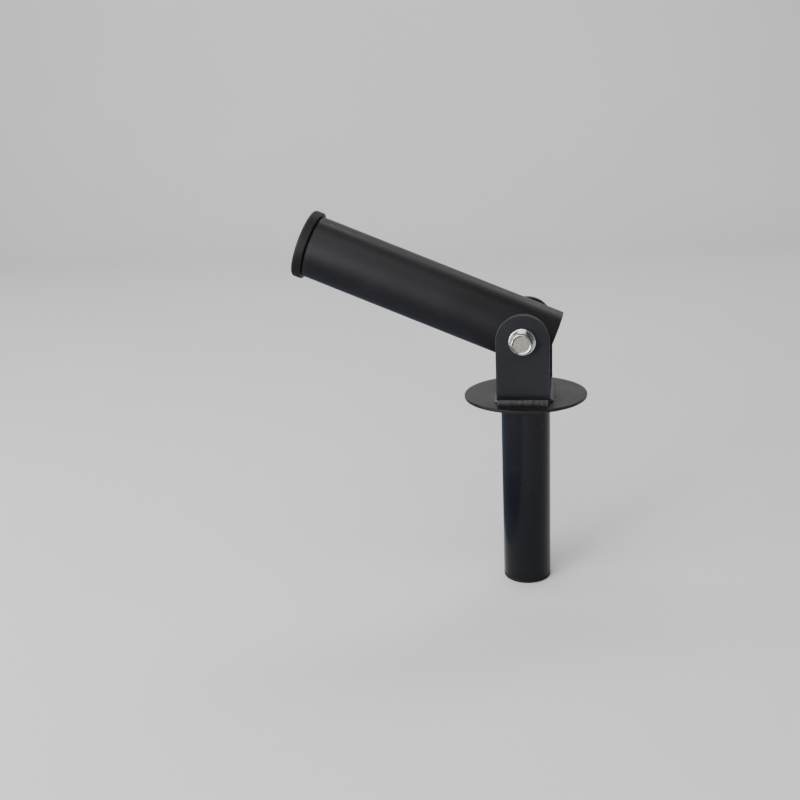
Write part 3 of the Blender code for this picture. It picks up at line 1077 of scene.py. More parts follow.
@dataclass
class Stand(SubAssembly):
    """The stop disc, and the post that hangs from it."""

    disc_radius: float = 0.060
    disc_edge: float = 0.0006
    disc_columns: int = 256
    post_bore: float = 0.02095
    post_end: float = -0.1917
    post_edge: float = 0.0004
    post_columns: int = 192
    weld_leg: float = 0.003
    weld_sections: int = 640
    floor: float = -0.195
    dimple: float = 0.0006
    dimple_floor: float = 0.0022
    dimple_mouth: float = 0.0028
    foot_flat: float = 0.012
    foot_round: float = 0.0012
    plug_shelf: float = -0.192
    plug_rim: float = -0.172
    plug_hollow: float = 0.01595
    hollow_round: float = 0.0006
    fin_tip: float = 0.02065
    fin_root: float = 0.01845
    fin_thickness: float = 0.0012
    fin_places: tuple[float, ...] = (-0.187, -0.182, -0.177)

    def make(self) -> None:
        """Builds the disc, the post, the weld and the plug."""
        self.make_disc()
        self.make_post()
        self.make_weld()
        self.make_plug()

    def make_disc(self) -> None:
        """A flat disc whose cut edge is barely broken."""
        top, rim, edge = DATUM.disc_top, self.disc_radius, self.disc_edge
        under = [(0, 0, 0), (0, rim / 2, 0), (0, rim, edge)]
        corners = under + [(top, *rest) for _, *rest in reversed(under)]
        piece = Piece("base_disc_coated", "base_disc", Slot.SATIN, DISC_BLACK)
        self.turned(piece, Axis.Z, corners, self.disc_columns)

    def make_post(self) -> None:
        """A tube whose sawn lower end is broken on both edges."""
        top, low, edge = -DATUM.gap, self.post_end, self.post_edge
        outer, bore = DATUM.post_radius, self.post_bore
        corners = [(top, bore, 0), (top, outer, 0), (low / 2, outer, 0), (low, outer, edge)]
        corners += [(low, bore, edge), (low / 2, bore, 0)]
        piece = Piece("post_tube_painted", "post_tube", Slot.GLOSS, GLOSS_BLACK)
        self.turned(piece, Axis.Z, corners, self.post_columns)

    def make_weld(self) -> None:
        """A fillet under the disc, all round the post."""
        root = DATUM.post_radius + BEAD_SEAT
        across, beside, down = Bead().round_fillet(root, self.weld_leg, self.weld_sections)
        piece = Piece("post_weld_bead", "post_weld", Slot.GLOSS, GLOSS_BLACK)
        self.skinned(piece, np.stack([across, beside, -BEAD_SEAT - down], axis=-1), ring=True)

    def make_plug(self) -> None:
        """A cup with grip fins, a rounded foot and a dimple where the plastic was let in."""
        outer, shelf, rim, low = DATUM.post_radius, self.plug_shelf, self.plug_rim, self.floor
        root, tip, hollow = self.fin_root, self.fin_tip, self.plug_hollow
        deep = low + self.dimple
        corners = [(deep, 0, 0), (deep, self.dimple_floor, EDGE.fine), (low, self.dimple_mouth, EDGE.light)]
        corners += [(low, self.foot_flat, 0), (low, outer, self.foot_round)]
        corners += [(shelf, outer, EDGE.light), (shelf, root, 0)]
        for place in self.fin_places:
            lower, upper = place - self.fin_thickness / 2, place + self.fin_thickness / 2
            corners += [(lower, root, 0), (lower, tip, EDGE.plain)]
            corners += [(upper, tip, EDGE.plain), (upper, root, 0)]
        corners += [(rim, root, EDGE.plain), (rim, hollow, EDGE.plain)]
        corners += [(shelf, hollow, self.hollow_round), (shelf, 0, 0)]
        piece = Piece("post_end_plug_moulded", "post_end_plug", Slot.MOULDED, BLACK_NYLON)
        self.turned(piece, Axis.Z, corners)


@dataclass
class Clevis(SubAssembly):
    """The U of bent flat bar and the beads that hold it to the disc.

    Foot is the height of the bar's underside, and bead_foot that of the beads'. The bends' centres are at
    bend_y and bend_z. Along the bar's outer face from its middle, the bend ends at bend_end and the bolt is
    at pivot_run.
    """

    half_width: float = 0.025
    thickness: float = 0.006
    bend_outside: float = 0.012
    bend_swell: float = 0.00035
    foot: float = DATUM.disc_top + DATUM.gap
    bead_foot: float = DATUM.disc_top + BEAD_SEAT
    bend_y: float = DATUM.ear_outside - bend_outside
    bend_z: float = foot + bend_outside
    bend_end: float = bend_y + bend_outside * pi / 2
    pivot_run: float = bend_end + DATUM.pivot_height - bend_z
    edge_round: float = 0.0008
    columns: int = 32
    floor_rows: int = 12
    bend_rows: int = 19
    leg_rows: int = 8
    wall_rows: tuple[float, ...] = (0.0, 0.2, 0.8, 1.0)
    ear_rings: tuple[float, ...] = (0, 0.07, 0.16, 0.28, 0.42, 0.56, 0.70, 0.82, 0.93, 1.0)
    foot_bead: Bead = Bead(pitch=0.0029, height=0.00006, wander=0.035)
    foot_sections: int = 240
    foot_taper: float = 0.0016
    foot_shift: float = 0.004
    foot_wave: float = 1.37
    bead_root: float = radians(25)
    bead_top: float = radians(56)
    bead_toe: float = 0.0445
    bead_crown: float = 0.0009
    bead_inset: float = 0.0002
    bead_run_out: float = 0.75
    back_rows: int = 8
    side_bead: Bead = Bead(pitch=0.0025, height=0.00013, wander=0.08)
    side_sections: int = 300
    side_leg: float = 0.0036
    side_taper: float = 0.0035
    side_wave: float = 1.2

    def make(self) -> None:
        """Builds the bracket and its four beads."""
        self.make_bracket()
        for side in Side:
            self.make_foot_bead(side)
        for hand in Hand:
            self.make_side_bead(hand)

    def bent(self, across: Array, run: Array, depth: float) -> Array:
        """Takes the flat blank into the bent bar.

        Up to the bend a point's run is its y. In the bend it is an angle about the bend's centre, and past
        the bend it is height. Depth shortens the bend's radius. Inside the bend the bar's edges swell out, as
        thick bar does.

        Args:
            across: place across the bar.
            run: distance along its outer face from the middle, below zero on the near side.
            depth: how far in from the outer face.

        Returns:
            The points.
        """
        far = np.abs(run)
        angle = np.clip((far - self.bend_y) / self.bend_outside, 0, pi / 2)
        radius = self.bend_outside - depth
        y = np.sign(run) * (np.minimum(far, self.bend_y) + radius * np.sin(angle))
        z = self.bend_z - radius * np.cos(angle) + np.maximum(far - self.bend_end, 0)
        swell = self.bend_swell * np.sin(2 * angle) * (2 * depth / self.thickness - 1)
        return np.stack([across * (1 + swell / self.half_width), y, z], axis=-1)

    def both_skins(self, across: Array, run: Array) -> list[Array]:
        """The outer face and the inner face of a piece of the bar."""
        return [self.bent(across, run, depth) for depth in (0.0, self.thickness)]

    def ear_plan(self) -> tuple[Array, Array]:
        """Rings of points round the bolt, out to the ear's outline.

        The outline is as far from the bolt as the half width above, and as a square's side below. Each ring
        is a share of the way there from the hole.

        Returns:
            (across, height over the bolt) of the points, rings by angles.
        """
        turn = circle(4 * self.columns)[None, :]
        outline = np.where(np.sin(turn) >= 0, self.half_width, square_radius(turn, self.half_width))
        radius = DATUM.bolt_hole + (outline - DATUM.bolt_hole) * as_rows(self.ear_rings)
        return radius * np.cos(turn), radius * np.sin(turn)

    def make_bracket(self) -> None:
        """Two skins, the outer face and the inner one, joined along the outline and round the holes."""
        x = square_side(self.half_width, self.columns)[None, :]
        floor = np.linspace(0, self.bend_y, self.floor_rows)[:-1]
        bend = np.linspace(self.bend_y, self.bend_end, self.bend_rows)
        leg = np.linspace(self.bend_end, self.pivot_run - self.half_width, self.leg_rows)[1:]
        runs = np.concatenate([floor, bend, leg])
        runs = np.concatenate([-runs[:0:-1], runs])[:, None]
        skins = self.both_skins(x + 0 * runs, runs + 0 * x)
        surface = Surface()
        for skin in skins:
            surface.add(skin)
        for end in (0, -1):
            surface.add_wall(skins[0][:, end], skins[1][:, end], rows=self.wall_rows)
        ring_x, ring_height = self.ear_plan()
        eighth = 4 * self.columns // 8
        border = np.arange(-eighth, 5 * eighth + 1)
        for side in Side:
            outer, inner = self.both_skins(ring_x, side.value * (self.pivot_run + ring_height))
            surface.add(outer, wrap=True)
            surface.add(inner, wrap=True)
            surface.add_wall(outer[0], inner[0], wrap=True)
            surface.add_wall(outer[-1][border], inner[-1][border], rows=self.wall_rows)
        piece = Piece("clevis_bracket_bent", "clevis_bracket", Slot.CHARCOAL, CHARCOAL)
        soften(self.dress(piece, surface), self.edge_round)

    def make_foot_bead(self, side: Side) -> None:
        """A bead in the wedge under one bend.

        Its section runs out along the disc to the toe, up the face to a point on the bend, and back down the
        bend to the root. The toe and that point wander, and both draw in to the root at the ends. The face's
        crown is fullest where the bead was begun, on the left, and runs out flat on the right.

        Args:
            side: which bend it lies under.
        """
        bead, foot = self.foot_bead, self.bead_foot
        length = 2 * (self.half_width - self.bead_inset)
        along = np.linspace(0, length, self.foot_sections)
        size = drawn_in(along, length, self.foot_taper)
        size = (size * bead.wobble(along + side.value * self.foot_shift, length * self.foot_wave))[:, None]
        radius = self.bend_outside + BEAD_SEAT
        top = self.bead_root + (self.bead_top - self.bead_root) * size
        angle = self.bead_root + (top - self.bead_root) * np.linspace(1, 0, self.back_rows)[None, 1:]
        (upper_y, upper_z), (back_y, back_z), (root_y, _) = (
            (self.bend_y + radius * np.sin(turn), self.bend_z - radius * np.cos(turn))
            for turn in (top, angle, self.bead_root)
        )
        toe = root_y + (self.bead_toe - root_y) * size
        slope = unit(np.stack([upper_z - foot, toe - upper_y], axis=-1))
        share, along = bead.share, along[:, None]
        crown = self.bead_crown * (1 - self.bead_run_out * np.clip(along / length - 0.5, 0, 0.5) * 2)
        proud = 4 * share * (1 - share) * crown * size + bead.ripples(along, share) * np.clip(size, 0, 1)
        face_y = toe + (upper_y - toe) * share + proud * slope[..., 0]
        face_z = foot + (upper_z - foot) * share + proud * slope[..., 1]
        root, base = np.full_like(toe, root_y), np.full_like(toe, foot)
        y = np.concatenate([face_y, back_y, root, (root + toe) / 2], axis=1)
        z = np.concatenate([face_z, back_z, base, base], axis=1)
        grid = np.stack([along - length / 2 + 0 * y, side.value * y, z], axis=-1)
        piece = Piece("foot_bead_" + side.word, "bracket_weld_" + side.word, Slot.CHARCOAL, FOOT_WELD)
        self.skinned(piece, capped(grid))

    def make_side_bead(self, hand: Hand) -> None:
        """A fillet along one edge of the clevis's floor, between the two bends.

        Args:
            hand: which edge it lies along.
        """
        length = 2 * self.bend_y
        along = np.linspace(0, length, self.side_sections)
        size = self.side_leg * drawn_in(along, length, self.side_taper)
        out, up = self.side_bead.fillet(along, size * self.side_bead.wobble(along, length * self.side_wave))
        x = hand.value * (self.half_width + BEAD_SEAT + out)
        grid = np.stack([x, (along - length / 2)[:, None] + 0 * x, self.bead_foot + up], axis=-1)
        piece = Piece("side_bead_" + hand.word, "bracket_weld_" + hand.word, Slot.CHARCOAL, SIDE_WELD)
        self.skinned(piece, capped(grid))


@dataclass
class PivotFastener(SubAssembly):
    """The flange bolt through both ears, with its washer and lock nut.

    A hexagon's corners are turned off from face_radius outwards.
    """

    placement: Placement = ON_BOLT
    columns: int = 192
    across_flats: float = 0.018
    face_inset: float = 0.0004
    face_radius: float = across_flats / 2 - face_inset
    chamfer_slope: float = tan(radians(30))
    head_height: float = 0.0115
    dish_radius: float = 0.0074
    dish_wall: float = 0.0012
    dish_depth: float = 0.0006
    dish_rows: int = 28
    dish_spread: float = 0.6
    flange_radius: float = 0.01265
    flange_rim: float = 0.0020
    flange_rise: float = 0.0028
    flange_rows: tuple[float, ...] = (0.03, 0.12, 0.3, 0.55, 0.8)
    shank_foot: float = 0.001
    shank_end: float = 0.0395
    thread_start: float = 0.040
    thread_run_in: float = 0.002
    thread_rows: int = 150
    thread_pitch: float = 0.00175
    thread_depth: float = 0.00095
    thread_steepness: float = 1.25
    thread_crest: float = 0.15
    shoulder_rows: tuple[float, ...] = (0.35, 0.7, 1.0)
    lip_rows: int = 13
    side_rows: int = 8
    shank_rows: int = 6
    tip: float = 0.0631
    tip_chamfer: float = 0.001
    washer_radius: float = 0.012
    washer_thickness: float = 0.0025
    nut_hex: float = 0.0085
    nut_height: float = 0.012
    nut_rows: int = 7
    collar: float = 0.0085
    lip: float = 0.0006
    recess: float = 0.0075
    bore_chamfer: float = 0.0005
    ring_edge: float = 0.0072

    def make(self) -> None:
        """Builds the bolt, the washer, the nut and its ring."""
        self.make_bolt()
        self.make_washer()
        self.make_nut()
        self.make_ring()

    @property
    def turn(self) -> Array:
        """The columns' angles about the bolt."""
        return circle(self.columns)[None, :]

    @property
    def hexagon(self) -> Array:
        """The hexagon's radius in each column."""
        return hexagon_radius(self.turn, self.across_flats)

    def turned_off(self, shares: Sequence[float]) -> tuple[Array, Array]:
        """Rows from the face radius out to the hexagon: how far they fall away as a cone, and their radii."""
        radius = self.face_radius + (self.hexagon - self.face_radius) * as_rows(shares)
        return (radius - self.face_radius) * self.chamfer_slope, radius

    def spun(self, piece: Piece, parts: Sequence[tuple[Any, Any]], ring: bool = False) -> None:
        """Stacks the parts of a profile into one grid and spins it into a piece.

        Args:
            piece: what it is.
            parts: (along, radius) of each part, one row or several.
            ring: whether the last row joins the first.
        """
        grown = [np.broadcast_arrays(*map(as_rows, part), self.turn)[:2] for part in parts]
        along, radius = (np.concatenate(rows) for rows in zip(*grown))
        self.skinned(piece, spin(along, radius, Axis.Y, self.columns), ring=ring)

    def make_bolt(self) -> None:
        """One grid from the middle of the head to the tip.

        The head's face is a forged cup inside a lip, and past the face radius it falls as a cone out
        to the hexagon. The sides go down to the flange's cone, whose height falls evenly from the hexagon to
        the rim. The thread's radius is a triangle wave of the distance along in pitches less the turn.
        """
        seat = -(DATUM.ear_outside + DATUM.gap)
        face = seat - self.head_height
        level = self.face_radius * np.linspace(0, 1, self.dish_rows) ** self.dish_spread
        wall = np.clip((level - self.dish_radius) / self.dish_wall, 0, 1)
        dish = self.dish_depth * (0.5 + 0.5 * np.cos(pi * wall))
        fall, shoulder_r = self.turned_off(self.shoulder_rows)
        half_rim = self.flange_rim / 2
        rim_r, rim_face = self.flange_radius - half_rim, seat - self.flange_rim
        cone = self.flange_rise / (rim_r - self.across_flats / 2)
        edge = face + fall[-1:]
        foot = rim_face - (rim_r - self.hexagon) * cone
        flange_r = self.hexagon + (rim_r - self.hexagon) * as_rows(self.flange_rows)
        lip = np.linspace(pi, 0, self.lip_rows)
        thread_end = self.tip - self.tip_chamfer
        thread = as_rows(np.linspace(self.thread_start, thread_end, self.thread_rows))
        phase = thread / self.thread_pitch - self.turn / FULL_TURN
        wave = np.abs(2 * (phase - np.floor(phase)) - 1)
        depth = self.thread_depth * np.clip((thread - self.thread_start) / self.thread_run_in, 0, 1)
        thread_r = DATUM.bolt_radius - depth * np.clip(self.thread_steepness * wave - self.thread_crest, 0, 1)
        end_r = DATUM.bolt_radius - self.tip_chamfer
        parts = [
            (face + dish, level),
            (face + fall, shoulder_r),
            (edge + (foot - edge) * as_rows(np.linspace(0, 1, self.side_rows)[1:]), self.hexagon),
            (rim_face - (rim_r - flange_r) * cone, flange_r),
            (seat - half_rim + half_rim * np.cos(lip), rim_r + half_rim * np.sin(lip)),
            (seat, DATUM.bolt_radius + self.shank_foot),
            (np.linspace(seat, self.shank_end, self.shank_rows), DATUM.bolt_radius),
            (thread, thread_r),
            (self.tip - self.tip_chamfer / 2, np.minimum(thread_r[-1:], end_r + EDGE.plain)),
            (self.tip, np.array([end_r - EDGE.plain, end_r / 2, 0.0])),
        ]
        self.spun(Piece("pivot_bolt_plated", "pivot_bolt", Slot.ZINC, FORGED_ZINC), parts)

    def make_washer(self) -> None:
        """A stamped washer: rounded where the punch went in, crisp on the other face."""
        near = DATUM.ear_outside + DATUM.gap
        far = near + self.washer_thickness
        hole, rim = DATUM.bolt_hole, self.washer_radius
        corners = [(near, hole, EDGE.crisp), (near, rim, EDGE.crisp), (far, rim, EDGE.soft)]
        corners.append((far, hole, EDGE.plain))
        self.turned(Piece("nut_washer_plated", "nut_washer", Slot.ZINC, BRIGHT_ZINC), Axis.Y, corners)

    def make_nut(self) -> None:
        """One closed grid: hexagon with its corners turned off, collar, rolled lip, recess and bore."""
        seat = DATUM.nut_seat
        shoulder, top = seat + self.nut_hex, seat + self.nut_height
        fall, ring_r = self.turned_off((0.0, 0.5, 1.0))
        low, high = seat + fall[-1:], shoulder - fall[-1:]
        roll = np.linspace(0, pi / 2, self.nut_rows)
        under = top - self.lip
        lip_edge = self.recess - self.lip
        parts = [
            (seat, np.array([DATUM.bolt_hole + self.bore_chamfer, self.face_radius - self.face_inset])),
            (seat + fall, ring_r),
            (low + (high - low) * as_rows(np.linspace(0, 1, self.nut_rows)[1:-1]), self.hexagon),
            (shoulder - fall[::-1], ring_r[::-1]),
            (shoulder, self.collar + EDGE.fine),
            (np.array([shoulder + EDGE.fine, under - self.lip]), self.collar),
            (under + self.lip * np.sin(roll), self.collar - self.lip + self.lip * np.cos(roll)),
            (np.array([top, top - EDGE.crisp]), np.array([lip_edge + EDGE.fine, lip_edge])),
            (under, lip_edge),
            (np.array([under, shoulder]), self.recess),
            (np.array([shoulder, seat + self.bore_chamfer]), DATUM.bolt_hole),
        ]
        self.spun(Piece("lock_nut_plated", "lock_nut", Slot.ZINC, BRIGHT_ZINC), parts, ring=True)

    def make_ring(self) -> None:
        """The nylon ring under the nut's rolled lip."""
        near = DATUM.nut_seat + self.nut_hex + DATUM.gap
        far = DATUM.nut_seat + self.nut_height - self.lip - DATUM.gap
        hole, rim = DATUM.bolt_hole, self.ring_edge
        corners = [(near, hole, EDGE.fine), (near, rim, EDGE.fine), (far, rim, EDGE.light)]
        corners.append((far, hole, EDGE.light))
        self.turned(Piece("lock_nut_ring", "lock_nut_insert", Slot.NYLON, PALE_NYLON), Axis.Y, corners)


@dataclass
class Receiver(SubAssembly):
    """The tube that swings on the bolt, and the bush in its mouth."""

    body: Body = Body.RECEIVER
    placement: Placement = ON_TUBE
    columns: int = 24
    arc_columns: int = 40
    behind: float = 0.0275
    end_round: float = 0.0006
    hole: float = 0.0128
    hole_rings: tuple[float, ...] = (0, 0.12, 0.3, 0.5, 0.7, 0.86, 1.0)
    patch: float = 0.021
    rear_supports: tuple[float, float] = (0.0025, 0.0015)
    mouth_rows: int = 40
    seam_height: float = 0.0004
    seam_width: float = 0.030
    seam_start: float = 0.027
    seam_rise: float = 0.006
    flange_radius: float = 0.0332
    flange_length: float = 0.0095
    bush_wall: float = 0.001
    bush_columns: int = 256
    spigot_length: float = 0.025
    front_round: float = 0.0022
    rear_round: float = 0.0013
    lead_in: float = 0.0015
    lead_round: float = 0.0007

    def make(self) -> None:
        """Builds the tube and the bush."""
        self.make_tube()
        self.make_bush()

    def girth(self, radius: float) -> Array:
        """Angles round the tube, with those beside the cross holes set by their height on a patch.

        Args:
            radius: the skin's radius.

        Returns:
            The angles, once round.
        """
        side = np.arcsin(square_side(self.patch, self.columns) / radius)
        over = np.linspace(side[-1], pi - side[-1], self.arc_columns + 1)[1:-1]
        return np.concatenate([side, over, pi + side, pi + over])

    def wrapped(self, along: Array, turn: Array, radius: float, seam: float) -> Array:
        """Part of a skin of the tube: (along, reach * cosine of the turn, reach * sine of the turn).

        The reach is the radius, less the seam's height times a bell curve of the angle from the lowest line,
        which starts a little behind the mouth.

        Args:
            along: distance along the tube for each row.
            turn: angle round it for each column.
            radius: the skin's radius.
            seam: how far the seam stands in.

        Returns:
            A grid of points.
        """
        along, turn = along[:, None], turn[None, :]
        bell = np.exp(-(((turn - 1.5 * pi) / self.seam_width) ** 2))
        inside = np.clip((along + DATUM.tube_ahead - self.seam_start) / self.seam_rise, 0, 1)
        reach = radius - seam * bell * inside
        return np.stack([along + 0 * turn, reach * np.cos(turn), reach * np.sin(turn)], axis=-1)

    def skin(self, surface: Surface, radius: float, seam: float) -> list[Array]:
        """Adds one skin of the tube, with a round hole through each side.

        Beside a hole the grid is a set of rings, from the hole's circle seen along Y out to a square.

        Args:
            surface: where the skin goes.
            radius: the skin's radius.
            seam: how far the seam stands in.

        Returns:
            The borders: mouth, rear end, near hole and far hole.
        """
        angle = self.girth(radius)
        ahead = np.linspace(-DATUM.tube_ahead, -self.patch, self.mouth_rows)
        inner, outer = self.rear_supports
        behind = np.array([self.patch, self.patch + inner, self.behind - outer, self.behind])
        front, rear = (self.wrapped(along, angle, radius, seam) for along in (ahead, behind))
        surface.add(front, wrap=True)
        surface.add(rear, wrap=True)
        for start in (self.columns, self.columns + len(angle) // 2):
            turn = angle[np.arange(start, start + self.arc_columns + 1) % len(angle)]
            surface.add(self.wrapped(square_side(self.patch, self.columns), turn, radius, seam))
        turn = circle(4 * self.columns)[None, :]
        reach = self.hole + (square_radius(turn, self.patch) - self.hole) * as_rows(self.hole_rings)
        along, height = reach * np.cos(turn), reach * np.sin(turn)
        out = np.sqrt(radius**2 - height**2)
        holes = [np.stack([along, side.value * out, height], axis=-1) for side in Side]
        for ring in holes:
            surface.add(ring, wrap=True)
        return [front[0], rear[-1], holes[0][0], holes[1][0]]

    def make_tube(self) -> None:
        """Two skins, joined at both ends and round both holes."""
        surface = Surface()
        outer = self.skin(surface, DATUM.tube_radius, 0.0)
        inner = self.skin(surface, DATUM.tube_bore, self.seam_height)
        for border, other in zip(outer, inner):
            surface.add_wall(border, other, wrap=True)
        piece = Piece("receiver_tube_coated", "receiver_tube", Slot.SATIN, SATIN_BLACK)
        soften(self.dress(piece, surface), self.end_round)

    def make_bush(self) -> None:
        """A flanged bush with a bull-nosed front and a chamfered lead-in."""
        seat = -DATUM.tube_ahead - DATUM.gap
        front, end = seat - self.flange_length, seat + self.spigot_length
        spigot = DATUM.tube_bore - DATUM.gap
        bore = spigot - self.bush_wall
        rim, lead = self.flange_radius, self.lead_in
        corners = [(end, bore, EDGE.fine), (end, spigot, EDGE.plain), (seat, spigot, 0)]
        corners += [(seat, rim, self.rear_round), (front, rim, self.front_round)]
        corners += [(front, bore + lead, self.lead_round), (front + lead, bore, EDGE.soft)]
        piece = Piece("mouth_bush_moulded", "mouth_bush", Slot.MOULDED, BLACK_NYLON)
        self.turned(piece, Axis.X, corners, self.bush_columns)


@dataclass
class Bearing(SubAssembly):
    """The cross sleeve welded through the tube, and the bushes that run on the bolt."""

    body: Body = Body.RECEIVER
    placement: Placement = ON_TUBE
    sleeve_end: float = 0.0364
    sleeve_edge: float = 0.0004
    bead: Bead = Bead(pitch=0.0021)
    weld_leg: float = 0.003
    weld_sections: int = 420
    bush_face: float = 0.0387
    bush_flange: float = 0.002
    bush_length: float = 0.020
    flange_radius: float = 0.014
    groove_half: float = 0.0006
    groove_depth: float = 0.0005

    def make(self) -> None:
        """Builds the sleeve, its welds and the bushes."""
        self.make_sleeve()
        for side in Side:
            self.make_weld(side)
            self.make_bush(side)

    def make_sleeve(self) -> None:
        """A tube with both ends broken on both edges."""
        end, bore, outer, edge = self.sleeve_end, DATUM.sleeve_bore, DATUM.sleeve_radius, self.sleeve_edge
        corners = [(-end, bore, edge), (-end, outer, edge), (0, outer, 0)]
        corners += [(end, outer, edge), (end, bore, edge), (0, bore, 0)]
        self.turned(Piece("cross_sleeve_steel", "pivot_sleeve", Slot.STEEL, BARE_STEEL), Axis.Y, corners)

    def make_weld(self, side: Side) -> None:
        """A fillet round the sleeve on the tube's saddle.

        At a place beside the sleeve's axis the tube's surface is the square root of its radius squared less
        that place squared out along Y. The section stands on it.

        Args:
            side: which side of the tube it is on.
        """
        root = DATUM.sleeve_radius + BEAD_SEAT
        along, height, up = self.bead.round_fillet(root, self.weld_leg, self.weld_sections)
        saddle = np.sqrt((DATUM.tube_radius + BEAD_SEAT) ** 2 - height**2)
        piece = Piece("sleeve_bead_" + side.word, "sleeve_weld_" + side.word, Slot.SATIN, WELD_BLACK)
        self.skinned(piece, np.stack([along, side.value * (saddle + up), height], axis=-1), ring=True)

    def make_bush(self, side: Side) -> None:
        """A flanged nylon bush with a grease groove in its running face.

        Args:
            side: which end of the sleeve it is in.
        """
        face, seat = self.bush_face, self.bush_face - self.bush_flange
        end, rim = seat - self.bush_length, self.flange_radius
        bore, outer = DATUM.bolt_hole, DATUM.bush_radius
        middle, half = (bore + rim) / 2, self.groove_half
        corners = [(end, bore, EDGE.light), (end, outer, EDGE.soft), (seat, outer, 0)]
        corners += [(seat, rim, EDGE.light), (face, rim, EDGE.soft)]
        corners += [(face, middle + half, 0), (face - self.groove_depth, middle, 0), (face, middle - half, 0)]
        corners.append((face, bore, EDGE.soft))
        corners = [(side.value * along, radius, turned_off) for along, radius, turned_off in corners]
        piece = Piece("flanged_bush_" + side.word, "pivot_bush_" + side.word, Slot.NYLON, PALE_NYLON)
        self.turned(piece, Axis.Y, corners)


@dataclass(frozen=True)
class SoftBox:
    """A rectangular studio light."""

    name: str
    place: Triple
    aim: Triple
    width: float
    height: float
    power: float

    def hang(self) -> None:
        """Puts the light up, facing what it aims at."""
        data = bpy.data.lights.new(self.name, "AREA")
        data.shape = "RECTANGLE"
        data.size, data.size_y = self.width, self.height
        data.energy = self.power
        lamp = stand_up(self.name, data)
        lamp.location = self.place
        towards = Vector(self.aim) - Vector(self.place)
        lamp.rotation_euler = towards.to_track_quat("-Z", "Y").to_euler()


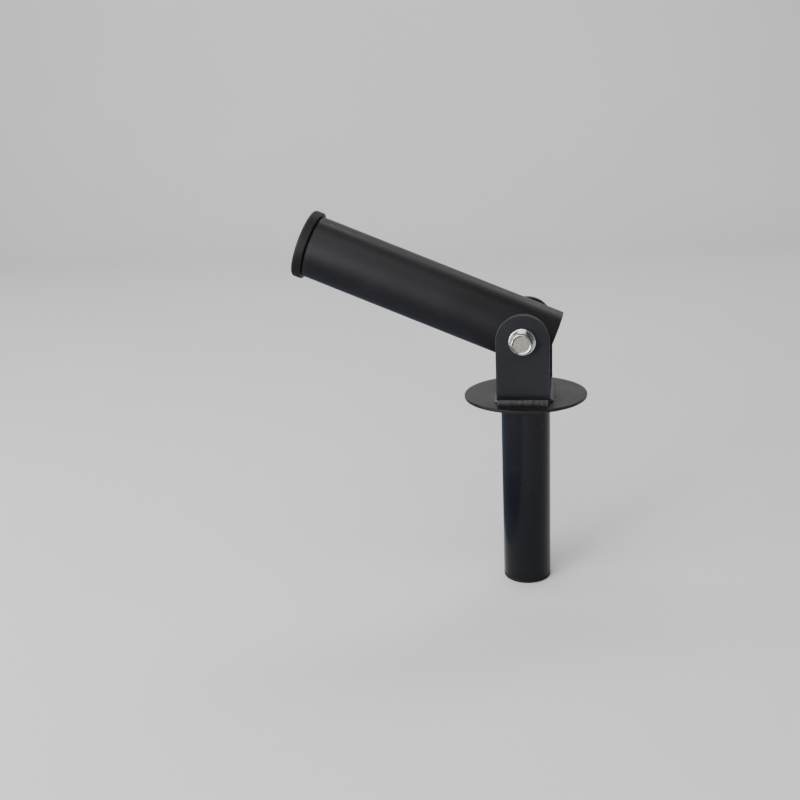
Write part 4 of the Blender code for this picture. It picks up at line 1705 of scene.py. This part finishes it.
@dataclass
class Studio:
    """The pale floor, the soft light, the blue grey card that the black paint mirrors, and the camera."""

    floor_height: float = -0.195
    floor_half: float = 12.0
    floor_lines: int = 9
    bend_lines: int = 25
    wall_place: float = 2.2
    wall_bend: float = 0.9
    wall_height: float = 3.4
    floor_colour: Triple = (0.70, 0.70, 0.70)
    floor_shade: float = 0.975
    floor_pitch: float = 1 / 1.6
    floor_band: Band = (0.35, 0.65)
    floor_roughness: float = 0.85
    card_corners: tuple[tuple[float, float], tuple[float, float]] = ((-1.10, -1.00), (-0.10, 0.60))
    card_lift: float = 0.002
    card_colour: Triple = (0.16, 0.20, 0.27)
    card_roughness: float = 0.9
    sky_colour: Triple = (0.97, 0.98, 1.0)
    horizon: float = 0.50
    zenith: float = 0.12
    sky_left: float = 1.35
    sky_right: float = 0.42
    camera_place: Triple = (0.0510, -0.8922, 0.2741)
    pan: float = radians(9.75)
    dip: float = radians(19.12)
    roll: float = radians(2.71)
    lens: float = 42.42
    shift: tuple[float, float] = (-0.0311, 0.0405)
    far_clip: float = 50.0
    lights: tuple[SoftBox, ...] = (
        SoftBox("front_box", (-0.95, -2.05, 1.40), (-0.05, 0.0, 0.05), 2.2, 2.4, 47.0),
        SoftBox("key_box", (-1.35, -1.95, 0.50), (0.0, 0.0, 0.05), 0.7, 1.0, 32.0),
        SoftBox("left_box", (-2.3, -0.9, 0.75), (0.0, 0.0, 0.05), 1.3, 1.2, 17.0),
        SoftBox("strip_box", (-1.35, -0.95, 0.02), (0.0, 0.0, -0.1), 0.16, 0.42, 7.0),
        SoftBox("overhead_box", (-0.3, -0.8, 2.3), (-0.05, 0.0, 0.0), 2.2, 1.5, 26.0),
        SoftBox("back_box", (-0.3, 1.3, 2.3), (-0.05, 0.0, 0.0), 1.8, 0.5, 17.0),
        SoftBox("back_fill", (1.3, 2.0, 2.0), (-0.05, 0.0, 0.0), 1.6, 1.2, 16.0),
        SoftBox("wall_wash", (-2.2, 0.9, 2.6), (-2.0, 3.0, 0.6), 2.4, 0.5, 42.0),
    )

    def make(self) -> None:
        """Lays the floor and the card, hangs the lights and sets up the camera."""
        self.make_floor()
        self.make_card()
        self.make_sky()
        for light in self.lights:
            light.hang()
        self.make_camera()

    def lay(self, name: str, grid: Array, board: NodeBoard, paint: Joins) -> Thing:
        """Puts down a sheet of the studio, which isn't part of the object.

        Args:
            name: its name.
            grid: its points, rows by columns.
            board: the nodes of its matt paint.
            paint: what else the paint's shader takes.

        Returns:
            The sheet.
        """
        surface = Surface()
        surface.add(grid)
        mesh = surface.mesh(name)
        mesh.shade_smooth()
        mesh.materials.append(board.dress({**paint, "Specular IOR Level": 0.0}))
        sheet = stand_up(name, mesh)
        return sheet

    def make_floor(self) -> None:
        """A sheet that lies flat and then sweeps up behind the object through a quarter circle."""
        bend = np.linspace(0, pi / 2, self.bend_lines)
        flat = np.linspace(-self.floor_half, self.wall_place, self.floor_lines)[:-1]
        back = self.wall_place + self.wall_bend
        y = np.concatenate([flat, self.wall_place + self.wall_bend * np.sin(bend), [back]])[:, None]
        rise = np.concatenate([0 * flat, self.wall_bend * (1 - np.cos(bend)), [self.wall_height]])[:, None]
        x = np.linspace(-self.floor_half, self.floor_half, self.floor_lines)[None, :]
        board = NodeBoard(bpy.data.materials.new("studio_floor_paper"))
        mottle = board.band(board.noise(board.coordinates(AT_ORIGIN), self.floor_pitch), *self.floor_band)
        colour = board.laid(shade(self.floor_colour, self.floor_shade), (mottle, self.floor_colour))
        grid = np.stack([x + 0 * y, y + 0 * x, self.floor_height + rise + 0 * x], axis=-1)
        self.lay("studio_floor", grid, board, {"Base Color": colour, "Roughness": self.floor_roughness})

    def make_card(self) -> None:
        """A blue grey card just over the floor at the object's left, which only reflections see."""
        (left, front), (right, back) = self.card_corners
        x, y = np.meshgrid([left, right], [front, back])
        grid = np.stack([x, y, self.floor_height + self.card_lift + 0 * x], axis=-1)
        board = NodeBoard(bpy.data.materials.new("studio_card_felt"))
        paint = {"Base Color": opaque(self.card_colour), "Roughness": self.card_roughness}
        card = self.lay("studio_card", grid, board, paint)
        card.visible_camera = card.visible_diffuse = card.visible_shadow = card.visible_transmission = False

    def make_sky(self) -> None:
        """Pale light from all round, strongest at the horizon and on the left."""
        world = bpy.data.worlds.new("studio_sky")
        bpy.context.scene.world = world
        board = NodeBoard(world, "Background")
        parts = board.split(board.node("TexCoord", {}).outputs["Generated"])
        fall = board.band(parts[2], 0.0, 1.0, self.horizon, self.zenith)
        sideways = {0: parts[0], 1: -1.0, 3: self.sky_left, 4: self.sky_right}
        across = board.node("MapRange", sideways).outputs[0]
        board.dress({"Color": opaque(self.sky_colour), "Strength": board.times(fall, across)})

    def make_camera(self) -> None:
        """Stands the camera where the photograph was taken from: panned, dipped and a little rolled."""
        level_out = np.cos(self.dip)
        ahead = np.array([-np.sin(self.pan) * level_out, np.cos(self.pan) * level_out, -np.sin(self.dip)])
        level = unit(np.cross(ahead, [0.0, 0.0, 1.0]))
        down = np.cross(ahead, level)
        right = np.cos(self.roll) * level + np.sin(self.roll) * down
        up = np.sin(self.roll) * level - np.cos(self.roll) * down
        data = bpy.data.cameras.new("photo_camera")
        data.lens = self.lens
        data.shift_x, data.shift_y = self.shift
        data.clip_end = self.far_clip
        camera = stand_up("photo_camera", data)
        turn = Matrix(np.stack([right, up, -ahead], axis=1).tolist())
        camera.matrix_world = Matrix.Translation(self.camera_place) @ turn.to_4x4()
        bpy.context.scene.camera = camera


def main() -> None:
    """Builds the sub-assemblies in order."""
    logging.basicConfig(level=logging.INFO, format="%(name)s: %(message)s")
    for part in (Stand(), Clevis(), PivotFastener(), Receiver(), Bearing(), Studio()):
        LOG.info("making %s", type(part).__name__)
        part.make()


if __name__ == "__main__":
    main()
